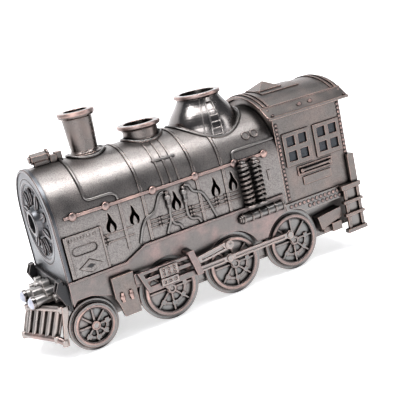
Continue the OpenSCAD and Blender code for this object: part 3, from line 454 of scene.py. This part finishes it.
def side_reach(z, lift=0.0):
    """How far out the boiler's side is at height z."""
    rise = max(0.0, z - BOILER_Z)
    return math.sqrt((BOILER_R + lift) ** 2 - rise ** 2)


def on_side(points, side, lift):
    """Points in X and Z, laid on the boiler's side."""
    return [(x, side * side_reach(z, lift), z) for x, z in points]


def over_top(x, reach, degrees):
    """Points round the boiler's axis, by their angles up from straight out."""
    turns = [math.radians(a) for a in degrees]
    return [(x, reach * math.cos(a), BOILER_Z + abs(reach) * math.sin(a)) for a in turns]


def mirrored(points, side):
    """Points of the left side as they are, or moved to the right side."""
    return [(x, -side * y, z) for x, y, z in points]


def round_corners(x0, z0, x1, z1, radius, steps=5):
    """The outline of a rectangle with round corners."""
    outline = []
    for cx, cz, start in ((x1, z1, 0), (x0, z1, 90), (x0, z0, 180), (x1, z0, 270)):
        ox = cx - radius if cx == x1 else cx + radius
        oz = cz - radius if cz == z1 else cz + radius
        for i in range(steps + 1):
            a = math.radians(start + 90 * i / steps)
            outline.append((ox + radius * math.cos(a), oz + radius * math.sin(a)))
    return outline


# ---------------------------------------------------------------- pipes and springs
# Radius of each tube, and how far its centre line stands off the boiler.
PIPE_R, PIPE_LIFT = 1.15, 0.45
LINE_R, LINE_LIFT = 0.62, 0.1
BAR_R, BAR_LIFT = 1.0, 0.5
# Pipes and bands end behind the top of the valance.
TRIM_FOOT = 69.0
# The winding key's shaft, and the room that its wings need.
KEY_X, KEY_Z, KEY_CLEAR = -3.9, 73.2, 14
SMALL_PIPES = (
    ((-30, 101.2), (-33.8, 100.6), (-40.4, 88.2), (-48.7, 86), (-52.6, 80.6), (-57.2, TRIM_FOOT)),
    ((-27.8, 88), (-28.2, 79), (-30.6, 75), (-33.6, TRIM_FOOT)),
    ((-27.6, 80), (-26.8, 75), (-21.6, 72.6), (-20.4, TRIM_FOOT)),
    ((-11.6, 101.6), (-8, 101), (-5.4, 94.4), (1.6, 92.6), (5.2, 86.2), (10.8, TRIM_FOOT)),
    ((-13.5, 88), (-13.6, 78), (-11.4, 74), (-5.2, 73), (-3.6, TRIM_FOOT)),
)
# The front feed pipe comes down from the boiler's top, bends, and runs back along the side.
FEED_BEND = (-90.8, 113)
FRONT_FEED = (FEED_BEND, (-70.5, 113), (-66.6, 110.5), (-66.5, 107))
REAR_FEED = ((35.6, 107), (36, 114.2), (44, 114.4), (76.4, 114.8))
# Rows of thin lines: both ends in X, and the height of each line at its front end.
MAIN_HEIGHTS = (83, 80, 77)
LINE_ROWS = ((-46.5, 35, MAIN_HEIGHTS), (-84, -60, (83.6, 77.6)))
LINE_FALL, LINE_STEPS = 0.006, 90
# Each union on the lines is a pair of nuts.
UNIONS_X, UNION_GAPS = (-83, -36.8, -9.6, 14, 22.6), (-1.2, 1.2)
VALVES = ((-27.7, 88.2), (-13.3, 88.2))
VALVE_PROFILE = (
    (1.1, -1.4), (1.1, 0), (1.9, 0.3), (2.1, 2.6), (1.7, 3.2), (1.7, 6.8), (2.6, 7.2), (2.8, 8),
    (2.8, 9.6), (2.3, 10.2), (1.3, 10.4), (1.3, 11.6), (1.7, 12), (1.5, 13), (0, 13.4),
)
CLAMP_BAR = ((-29.6, 124.8), (-10.2, 124.8))


def clear_of_key(x, z, side):
    """True where the winding key's swing leaves room for a pipe."""
    return side < 0 or math.hypot(x - KEY_X, z - KEY_Z) > KEY_CLEAR


def keep_clear(path, side):
    """The stretches of a path that stay clear of the winding key."""
    runs = [[]]
    for p in path:
        if clear_of_key(p[0], p[2], side):
            runs[-1].append(p)
        elif runs[-1]:
            runs.append([])
    return [run for run in runs if len(run) > 2]


def bent_flat(points, radius):
    """Points in X and Z with their corners rounded, before they are laid on the boiler."""
    return [(x, z) for x, _, z in rounded([(x, 0, z) for x, z in points], radius)]


def pipework():
    """Bent pipes, thin lines with their unions, two valves and a clamp bar on each side."""
    mesh = bmesh.new()
    for side in SIDES:
        for points in SMALL_PIPES:
            path = rounded(on_side(points, side, PIPE_LIFT), 3.6)
            for run in keep_clear(path, side):
                sweep(mesh, run, PIPE_R)
        down = over_top(FEED_BEND[0], side * (BOILER_R + PIPE_LIFT), range(86, 31, -3))
        bend = on_side((FEED_BEND, (-80, FEED_BEND[1])), side, PIPE_LIFT)
        along = on_side(bent_flat(FRONT_FEED, 4)[1:], side, PIPE_LIFT)
        sweep(mesh, down + rounded(down[-1:] + bend, 5.5)[1:] + along, PIPE_R)
        sweep(mesh, on_side(bent_flat(REAR_FEED, 4), side, PIPE_LIFT), PIPE_R)
        for x0, x1, heights in LINE_ROWS:
            for z in heights:
                steps = [x0 + (x1 - x0) * i / LINE_STEPS for i in range(LINE_STEPS + 1)]
                line = on_side([(x, z - LINE_FALL * (x - x0)) for x in steps], side, LINE_LIFT)
                for run in keep_clear(line, side):
                    sweep(mesh, run, LINE_R, sides=8)
        nuts = [(x + gap, z) for x in UNIONS_X for z in MAIN_HEIGHTS for gap in UNION_GAPS]
        for x, z in nuts:
            if clear_of_key(x, z, side):
                nut(mesh, (x, side * (BOILER_R - 0.2), z), (0, side, 0), 1.0, 1.5)
        for x, z in VALVES:
            turned(mesh, VALVE_PROFILE, (x, side * (BOILER_R + 1.3), z), sides=20)
        sweep(mesh, on_side(CLAMP_BAR, side, BAR_LIFT), BAR_R)
    pipes = piece("relief_pipes", mesh, GUNMETAL)
    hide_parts("side_pipework")


SPRINGS_X, SPRING_Y = (40.5, 51.5), 45.8
COIL_R, WIRE_R = 3.7, 1.1
COIL_FOOT, COIL_TOP = 70.6, 101.2
COIL_TURNS, COIL_STEPS = 8, 22
POST = ((1.2, 68), (1.2, 103))
FOOT_CUP = ((4.6, 0), (4.6, 1.5), (3.2, 2))
HEX_CAP = (
    (4.3, 0), (4.6, 0.3), (4.6, 1.4), (4.2, 1.8), (2.9, 1.9), (2.9, 3.4), (2.3, 3.9), (0, 4.3),
)
CUP_Z, NUT_Z, CAP_Z = 67.9, 84.9, 101.9
ARMS_Z, ARM_HALF_WIDTH, ARM_HEIGHT = (68.2, 102.2), 1.6, 1.4


def springs():
    """Two coil springs a side, each round a post that two arms hold off the boiler."""
    wire, fittings = bmesh.new(), bmesh.new()
    last = COIL_TURNS * COIL_STEPS
    for x, side in [(x, side) for side in SIDES for x in SPRINGS_X]:
        y = side * SPRING_Y
        path = []
        for i in range(last + 1):
            a = 2 * math.pi * i / COIL_STEPS
            z = COIL_FOOT + (COIL_TOP - COIL_FOOT) * i / last
            path.append((x + COIL_R * math.cos(a), y + COIL_R * math.sin(a), z))
        sweep(wire, path, WIRE_R, sides=10)
        turned(fittings, POST, (x, y, 0), sides=16)
        turned(fittings, HEX_CAP, (x, y, CAP_Z), sides=6)
        turned(fittings, FOOT_CUP, (x, y, CUP_Z), sides=24)
        nut(fittings, (x, y, NUT_Z), (0, 0, 1), 3.0, 2.2)
        for z in ARMS_Z:
            left, right, top = x - ARM_HALF_WIDTH, x + ARM_HALF_WIDTH, z + ARM_HEIGHT
            outline = [(left, z), (right, z), (right, top), (left, top)]
            slab(fittings, outline, side * (BOILER_R - 0.2), y)
    coils = piece("spring_coils", wire, BRONZE)
    piece("spring_fittings", fittings, GUNMETAL)
    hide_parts("side_springs")


# ---------------------------------------------------------------- boiler top
# The steam dome's radius at a few heights.
DOME_SIZES = (
    (118, 30.6), (130, 30.5), (136, 29.8), (141, 28.2), (146, 25.8), (150, 22.8), (154, 19.9),
    (158, 17.6), (159, 17.6),
)
# A line up the dome swings by so many degrees a millimetre, and is at its own swing at LEAN_Z.
LEAN, LEAN_Z = 0.12, 140
SEAM_SWING, STRAP_START, STRAP_END = -26, -14, 2
SEAM_R, STRAP_R, RUNG_R = 0.42, 0.7, 0.55
RUNGS_Z = (129.5, 134.5, 139.5, 144.5, 149)
STRAP_FOOT, STRAP_LENGTH, STRAP_STEPS = 122, 36.5, 44
STRAP_STUD = ((0.5, 0), (2.4, 0.2), (2.4, 3.2), (1.6, 3.6))


def dome_radius(z):
    """The steam dome's radius at height z."""
    for (z0, r0), (z1, r1) in zip(DOME_SIZES, DOME_SIZES[1:]):
        if z <= z1:
            return r0 + (r1 - r0) * (z - z0) / (z1 - z0)
    return DOME_SIZES[-1][1]


def on_dome(swing, z, lift=0.2):
    """A point on the dome's left side: swing is in degrees from straight out, towards the cab."""
    a = math.radians(swing)
    radius = dome_radius(z) + lift
    return (DOME_X + radius * math.sin(a), -radius * math.cos(a), z)


def above_boiler(point):
    """True for a point that isn't buried more than 1 mm in the boiler's top."""
    return point[2] > BOILER_Z + math.sqrt(max(0, BOILER_R ** 2 - point[1] ** 2)) - 1


def dome_strap():
    """A strap with rungs up each side of the steam dome, with a thin seam beside it."""
    mesh = bmesh.new()
    heights = [STRAP_FOOT + STRAP_LENGTH * i / STRAP_STEPS for i in range(STRAP_STEPS + 1)]
    for side in SIDES:
        lines = ((SEAM_SWING, SEAM_R), (STRAP_START, STRAP_R), (STRAP_END, STRAP_R))
        for swing, wire in lines:
            path = [on_dome(swing + (z - LEAN_Z) * LEAN, z) for z in heights]
            sweep(mesh, mirrored(filter(above_boiler, path), side), wire, sides=10)
        for z in RUNGS_Z:
            lean = (z - LEAN_Z) * LEAN
            swings = [STRAP_START + (STRAP_END - STRAP_START) * i / 6 + lean for i in range(7)]
            sweep(mesh, mirrored([on_dome(a, z, 0.1) for a in swings], side), RUNG_R, sides=8)
        turned(mesh, STRAP_STUD, mirrored([on_dome(-4, 155.2, -0.5)], side)[0], sides=20)
    piece("dome_straps", mesh, STRAP)


def boiler_beads():
    """A bead round the foot of the chimney and of each dome, which follows the boiler."""
    mesh = bmesh.new()
    turns = [2 * math.pi * i / 72 for i in range(72)]
    fittings = ((CHIMNEY_X, 14.9, 1.1, 1.0), (SAND_X, 16.2, 1.0, 0.9), (DOME_X, 31.2, 1.0, 0.7))
    for x, radius, wire, lift in fittings:
        path = []
        for a in turns:
            y = radius * math.sin(a)
            z = BOILER_Z + math.sqrt((BOILER_R + lift) ** 2 - y * y)
            path.append((x + radius * math.cos(a), y, z))
        sweep(mesh, path, wire, sides=10, closed=True)
    piece("flange_beads", mesh, GUNMETAL)


def rim_rings():
    """A worn copper edge round the mouths of the chimney and the two domes."""
    mesh = bmesh.new()
    mouths = (
        ("chimney", CHIMNEY_X, 14.3, 3.0),
        ("sand_dome", SAND_X, 17.3, 2.6),
        ("steam_dome", DOME_X, 19.3, 2.6),
    )
    for name, x, radius, thick in mouths:
        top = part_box(name)[1].z / MM - 0.15
        profile = [
            (radius - 0.3, -thick), (radius + 0.15, -thick + 0.3), (radius + 0.3, -thick / 2),
            (radius + 0.1, -0.3), (radius - 0.5, 0.03), (radius - 1.2, 0.1), (radius - 1.2, -0.3),
        ]
        turned_ring(mesh, profile, (x, 0, top), (0, 0, 1), 64)
    piece("mouth_rims", mesh, COPPER)


BANDS_X = (-47, 0, 24.5)
BEAD_R, BEAD_OFFSET, BEAD_LIFT = 0.34, 0.95, 0.55


def band_beads():
    """A pair of fine ridges along each boiler band, over the top and down both sides."""
    mesh = bmesh.new()
    reach = BOILER_R + BEAD_LIFT
    for x in [x + offset for x in BANDS_X for offset in (-BEAD_OFFSET, BEAD_OFFSET)]:
        over = over_top(x, reach, range(0, 181, 3))
        sweep(mesh, [(x, reach, TRIM_FOOT)] + over + [(x, -reach, TRIM_FOOT)], BEAD_R, sides=8)
    piece("band_beads", mesh, BRIGHT)


PANEL_FACE = 42.3
LOZENGE = ((-108.9, 66), (-99.6, 61.1), (-90.3, 66), (-99.6, 71.5))
LOZENGE_MIDDLE, LOZENGE_SHRINK, LOZENGE_FACES = (-99.6, 66.2), 0.42, (42.6, 43.15)
SLOT_BOX, SLOT_ROUND = (-111, 75.9, -91, 82.7), 3.38


def panel_lines():
    """Dark lines round the lozenge and the slot on each step panel, and a small raised dark lozenge
    inside.
    """
    mesh = bmesh.new()
    mx, mz = LOZENGE_MIDDLE
    inner = [(mx + (x - mx) * LOZENGE_SHRINK, mz + (z - mz) * LOZENGE_SHRINK) for x, z in LOZENGE]
    for side in SIDES:
        for outline, wire in ((LOZENGE, 0.32), (round_corners(*SLOT_BOX, SLOT_ROUND), 0.3)):
            path = [(x, side * PANEL_FACE, z) for x, z in outline]
            sweep(mesh, path, wire, sides=6, closed=True)
        slab(mesh, inner, side * LOZENGE_FACES[0], side * LOZENGE_FACES[1], 0.3)
    piece("panel_dark_lines", mesh, DARK)


LEAVES = 10
DOOR_DEPTH = 5.3
DOOR_BEADS = ((30.9, 0.8), (27.6, 0.5))
DOT_REACH, DOT = 25.2, ((1.5, 0), (1.4, 0.6), (0.9, 1.1), (0, 1.3))


def door_trim():
    """Two beads, ten dots and ten leaf veins on the smokebox door: a plain ornament."""
    mesh = bmesh.new()
    face = NOSE_X + DOOR_DEPTH
    turns = [2 * math.pi * i / 96 for i in range(96)]
    for radius, wire in DOOR_BEADS:
        path = [(face, radius * math.cos(a), BOILER_Z + radius * math.sin(a)) for a in turns]
        sweep(mesh, path, wire, sides=8, closed=True)
    for i in range(LEAVES):
        a = 2 * math.pi * i / LEAVES
        out = Vector((0, -math.sin(a), math.cos(a)))
        base = Vector((face - 1.6, 0, BOILER_Z))
        vein = [base + out * (14 + 13 * t / 6) for t in range(7)]
        sweep(mesh, vein, lambda t: 0.75 - 0.35 * t, sides=8)
        b = a + math.pi / LEAVES
        spot = (face + 0.1, -DOT_REACH * math.sin(b), BOILER_Z + DOT_REACH * math.cos(b))
        turned(mesh, DOT, spot, (-1, 0, 0), 16)
    piece("door_trim", mesh, FRONT)


# ---------------------------------------------------------------- front end
LAMP_X, LAMP_Y, LAMP_Z = -142.2, 11.6, 43.9
LENS_R, LENS_RISE, LENS_SET = 4.5, 3.2, 0.6
LAMP_RIM = ((4.6, -2.4), (5.1, -2.2), (5.2, -0.4), (5.0, 0.3), (4.5, 0.3))


def lamps():
    """A domed lens and a bright rim on each lamp barrel."""
    glass, rims = bmesh.new(), bmesh.new()
    turns = [math.radians(a) for a in range(0, 90, 9)]
    dome = [(LENS_R, -LENS_SET)]
    dome += [(LENS_R * math.cos(a), LENS_RISE * math.sin(a)) for a in turns]
    dome.append((0, LENS_RISE))
    for side in SIDES:
        turned(glass, dome, (LAMP_X, side * LAMP_Y, LAMP_Z), (-1, 0, 0), 48)
        turned(rims, LAMP_RIM, (LAMP_X, side * LAMP_Y, LAMP_Z), (-1, 0, 0), 48)
    domes = piece("lamp_domes", glass, LENS)
    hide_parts("lenses")
    piece("lamp_rims", rims, BRIGHT)


SCREEN_THICK = 1.4
FOOT_RAIL_R = 2.55
FOOT_RAIL = (
    (-131.6, -35.3, 14.2), (-135.4, -31, 17.4), (-151.2, 0, 18.6), (-135.4, 31, 17.4),
    (-131.6, 35.3, 14.2),
)


def pilot_screen():
    """The closed panel behind the bars of the pilot, and the round rail along its foot."""
    mesh = bmesh.new()
    for side in SIDES:
        corners = (
            (-149.9, 0, 18.6), (-134.3, side * 30.5, 17.8),
            (-126.3, side * 32.5, 37.6), (-142.3, 0, 37.6),
        )
        front = [mesh.verts.new(p) for p in corners]
        back = [mesh.verts.new((x + SCREEN_THICK, y, z)) for x, y, z in corners]
        mesh.faces.new(front)
        mesh.faces.new(back[::-1])
        for k in range(4):
            n = (k + 1) % 4
            mesh.faces.new((front[k], back[k], back[n], front[n]))
    piece("pilot_screen", mesh, SCREEN, smooth=False)
    rail = bmesh.new()
    sweep(rail, rounded(FOOT_RAIL, 2.5, 8), FOOT_RAIL_R, sides=20)
    piece("pilot_foot_rail", rail, COPPER)


# ---------------------------------------------------------------- wheels and motion
# The outer face of the treads, and how much smaller a tread is than its flange.
TREAD_FACE, TREAD_STEP = 40.5, 4.0
RING_INSET = 0.25
HUB_RING = ((3.4, 1.0), (3.3, 1.3), (2.5, 1.35), (2.4, 1.0))


def wheel_trim(name, node, body, side):
    """A worn copper ring round the tread's face and on the hub, and inside it a black ring that paints
    the shade of a groove.
    """
    low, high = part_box(node)
    centre = (low + high) / 2 / MM
    outer = (high.x - low.x) / 2 / MM - TREAD_STEP - RING_INSET
    origin, out = (centre.x, side * TREAD_FACE, centre.z), (0, side, 0)
    rim, groove_shade = bmesh.new(), bmesh.new()
    raised = [
        (outer - 2.1, -0.3), (outer - 1.9, 0.1), (outer - 1.1, 0.35), (outer - 0.4, 0.15),
        (outer, -0.5),
    ]
    # A thin black ring standing in for the shade in a groove: painted shade.
    groove_shade_profile = [(outer - 2.9, -0.2), (outer - 2.8, 0.06), (outer - 2.2, 0.06), (outer - 2.1, -0.2)]
    turned_ring(rim, raised, origin, out, 72)
    turned_ring(rim, HUB_RING, origin, out, 32)
    turned_ring(groove_shade, groove_shade_profile, origin, out, 72)
    piece(name + "_rim_ring", rim, COPPER, body)
    piece(name + "_painted_groove_shade", groove_shade, DARK, body)


def wheels():
    """Trims the six driving wheels and the two pilot wheels."""
    for number in (1, 2, 3):
        driver = f"driver{number}"
        for side in SIDES:
            word = SIDE_WORDS[side]
            wheel_trim(f"{driver}_{word}", f"{driver}_wheel_{word}", driver, side)
    for side in SIDES:
        wheel_trim(f"pilot_{SIDE_WORDS[side]}", "pilot_wheels", "pilot_wheelset", side)


# Each row of studs on the crosshead: the first one's X, its height, and the face it stands on.
STUD_ROWS, STUD_PITCH = ((-48.0, 45.4, 50.7), (-48.0, 41.6, 50.7), (-48.8, 36.0, 51.3)), 4.6
STUD_RING = ((1.7, -0.1), (1.6, 0.42), (1.2, 0.42), (1.1, -0.1))


def crosshead_rings():
    """A raised ring round each stud on the crosshead blocks."""
    mesh = bmesh.new()
    for side in SIDES:
        for first, z, face in STUD_ROWS:
            for x in (first + STUD_PITCH * i for i in range(3)):
                turned_ring(mesh, STUD_RING, (x, side * face, z), (0, side, 0), 20)
    piece("crosshead_rings", mesh, ROD)


LADDER_BACK, LADDER_FACES = ((133, 18), (147.5, 18), (147.5, 54), (133, 54)), (43.2, 44.0)


def ladder_backs():
    """A thin plate behind each cab ladder's rungs."""
    mesh = bmesh.new()
    for side in SIDES:
        slab(mesh, LADDER_BACK, side * LADDER_FACES[0], side * LADDER_FACES[1], 0.1)
    piece("ladder_backs", mesh, GUNMETAL, smooth=False)


# ---------------------------------------------------------------- rivets
HEAD_HEIGHT = 0.9


def islands(name):
    """The centre and half size, in millimetres, of each separate solid in a CAD node."""
    mesh = bmesh.new()
    mesh.from_mesh(frame["nodes"][name].data)
    bmesh.ops.remove_doubles(mesh, verts=mesh.verts, dist=0.002 * MM)
    found, seen = [], set()
    for start in mesh.verts:
        if start in seen:
            continue
        seen.add(start)
        group, front = [], [start]
        while front:
            vert = front.pop()
            group.append(vert.co / MM)
            for edge in vert.link_edges:
                other = edge.other_vert(vert)
                if other not in seen:
                    seen.add(other)
                    front.append(other)
        low = Vector([min(p[k] for p in group) for k in range(3)])
        high = Vector([max(p[k] for p in group) for k in range(3)])
        found.append(((low + high) / 2, (high - low) / 2))
    mesh.free()
    return found


def rivet_heads():
    """A domed head on each of the CAD's rivets on the side walls, with a dark ring of painted shade
    round its foot.
    """
    heads, rings = bmesh.new(), bmesh.new()
    for centre, half in islands("body_rivets"):
        on_wall = abs(centre.y) >= BOILER_R - 2 and half.y <= half.x * 1.2
        if not on_wall:
            continue
        side = 1 if centre.y > 0 else -1
        foot = (centre.x, side * (abs(centre.y) + half.y - HEAD_HEIGHT), centre.z)
        r, out = max(half.x, half.z), (0, side, 0)
        # A flat dark ring round the foot of the head: painted shade.
        turned(rings, [(r + 0.55, 0), (r + 0.55, 0.32), (r - 0.2, 0.36)], foot, out, 16)
        dome = [(r, 0), (r, 0.45), (r * 0.75, 0.8), (r * 0.35, 0.89), (0, HEAD_HEIGHT)]
        turned(heads, dome, foot, out, 16)
    piece("rivet_shade_rings", rings, DARK)
    piece("rivet_heads", heads, COPPER)


# ---------------------------------------------------------------- cab
WINDOWS_X, PANE_ROWS_Z = (83.5, 114.6), (91.1, 103.8)
PANES_X = (3.3, 3.3 + 11.9)
PANE_W, PANE_H, PANE_GAP, PANE_ROUND = 8.3, 8.4, 0.05, 1.0
PANE_DEPTH, PANE_THICK = 0.7, 0.35


def window_panes():
    """A dark pane in each opening of the window frames."""
    mesh = bmesh.new()
    for side in SIDES:
        wall = side * (BOILER_R - PANE_DEPTH)
        for left in [window + pane for window in WINDOWS_X for pane in PANES_X]:
            for z in PANE_ROWS_Z:
                outline = round_corners(
                    left + PANE_GAP, z + PANE_GAP,
                    left + PANE_W - PANE_GAP, z + PANE_H - PANE_GAP, PANE_ROUND)
                slab(mesh, outline, wall, wall + side * PANE_THICK)
    piece("window_panes", mesh, GLASS)


# ---------------------------------------------------------------- studio, in metres
FLOOR_HALF_WIDTH, FLOOR_FRONT, FLOOR_BACK = 30.0, -30.0, 2.2
WALL_BEND, WALL_TOP = 0.8, 3.2
MIDDLE = (0, 0, 0.08)
# Each light's name, place, target, size and power in watts.
LIGHTS = (
    ("overhead", (-0.1, -0.25, 1.4), MIDDLE, (1.8, 0.4), 24),
    ("left_window", (-1.2, -1.7, 0.42), MIDDLE, (1.4, 0.5), 12),
    ("right_strip", (1.5, -1.2, 0.6), MIDDLE, (0.35, 1.2), 6),
    ("wall_wash", (0.0, 0.6, 2.4), (0, 3.0, 1.0), (3.0, 1.0), 70),
)
WORLD_COLOUR, WORLD_STRENGTH = rgb(0.9, 0.93, 1.0), 0.2
# The camera looks at a point from a distance. In degrees, it is turned about +Z from facing +Y,
# stands that much above the point, and leans to one side. Its lens and sensor are in millimetres.
CAMERA_AIM, CAMERA_DISTANCE = (0.01904, 0, 0.0742), 0.6888
CAMERA_TURN, CAMERA_RISE, CAMERA_LEAN = -25.555, 14.211, -12.456
CAMERA_LENS, CAMERA_SENSOR, CAMERA_FAR = 73.8, 36, 20


def stage():
    """A pale floor that curves up into a wall far behind the locomotive."""
    mesh = bmesh.new()
    profile = [(FLOOR_FRONT, 0.0)]
    for a in (math.radians(degrees) for degrees in range(0, 91, 6)):
        y, z = WALL_BEND * math.sin(a), WALL_BEND - WALL_BEND * math.cos(a)
        profile.append((FLOOR_BACK + y, z))
    profile.append((FLOOR_BACK + WALL_BEND, WALL_TOP))
    edges = (-FLOOR_HALF_WIDTH, FLOOR_HALF_WIDTH)
    rows = [[mesh.verts.new((x, y, z)) for x in edges] for y, z in profile]
    for one, two in zip(rows, rows[1:]):
        mesh.faces.new((one[0], one[1], two[1], two[0]))
    data = bpy.data.meshes.new("floor")
    mesh.to_mesh(data)
    mesh.free()
    data.shade_smooth()
    floor = bpy.data.objects.new("floor", data)
    bpy.context.scene.collection.objects.link(floor)
    m = Nodes("pale_floor")
    m.set(Base_Color=rgb(0.86, 0.86, 0.87), Roughness=0.85)
    m.set(Emission_Color=rgb(1, 1, 1), Emission_Strength=0.5)
    data.materials.append(m.material)


def studio():
    """Soft area lights and a dim, slightly blue world."""
    for name, place, target, size, power in LIGHTS:
        data = bpy.data.lights.new(name, "AREA")
        data.shape = "RECTANGLE"
        data.size, data.size_y = size
        data.energy = power
        light = bpy.data.objects.new(name, data)
        light.location = place
        aim = Vector(target) - Vector(place)
        light.rotation_euler = aim.to_track_quat("-Z", "Y").to_euler()
        bpy.context.scene.collection.objects.link(light)
    world = bpy.data.worlds.new("studio")
    world.use_nodes = True
    background = world.node_tree.nodes["Background"]
    background.inputs["Color"].default_value = WORLD_COLOUR
    background.inputs["Strength"].default_value = WORLD_STRENGTH
    bpy.context.scene.world = world


def camera():
    """A long lens that looks at the nose and the left side, from a little above."""
    data = bpy.data.cameras.new("camera")
    data.lens = CAMERA_LENS
    data.sensor_width = CAMERA_SENSOR
    data.clip_end = CAMERA_FAR
    obj = bpy.data.objects.new("camera", data)
    turned_to = Matrix.Rotation(math.radians(CAMERA_TURN), 4, "Z")
    turned_to @= Matrix.Rotation(math.radians(90 - CAMERA_RISE), 4, "X")
    turned_to @= Matrix.Rotation(math.radians(CAMERA_LEAN), 4, "Z")
    step_back = Matrix.Translation((0, 0, CAMERA_DISTANCE))
    obj.matrix_world = Matrix.Translation(CAMERA_AIM) @ turned_to @ step_back
    bpy.context.scene.collection.objects.link(obj)
    bpy.context.scene.camera = obj


dress_cad()
pipework()
springs()
dome_strap()
boiler_beads()
rim_rings()
band_beads()
panel_lines()
door_trim()
lamps()
pilot_screen()
wheels()
crosshead_rings()
ladder_backs()
rivet_heads()
window_panes()
stage()
studio()
camera()
bpy.context.scene.view_settings.view_transform = "Standard"
bpy.context.scene.view_settings.look = "Medium High Contrast"
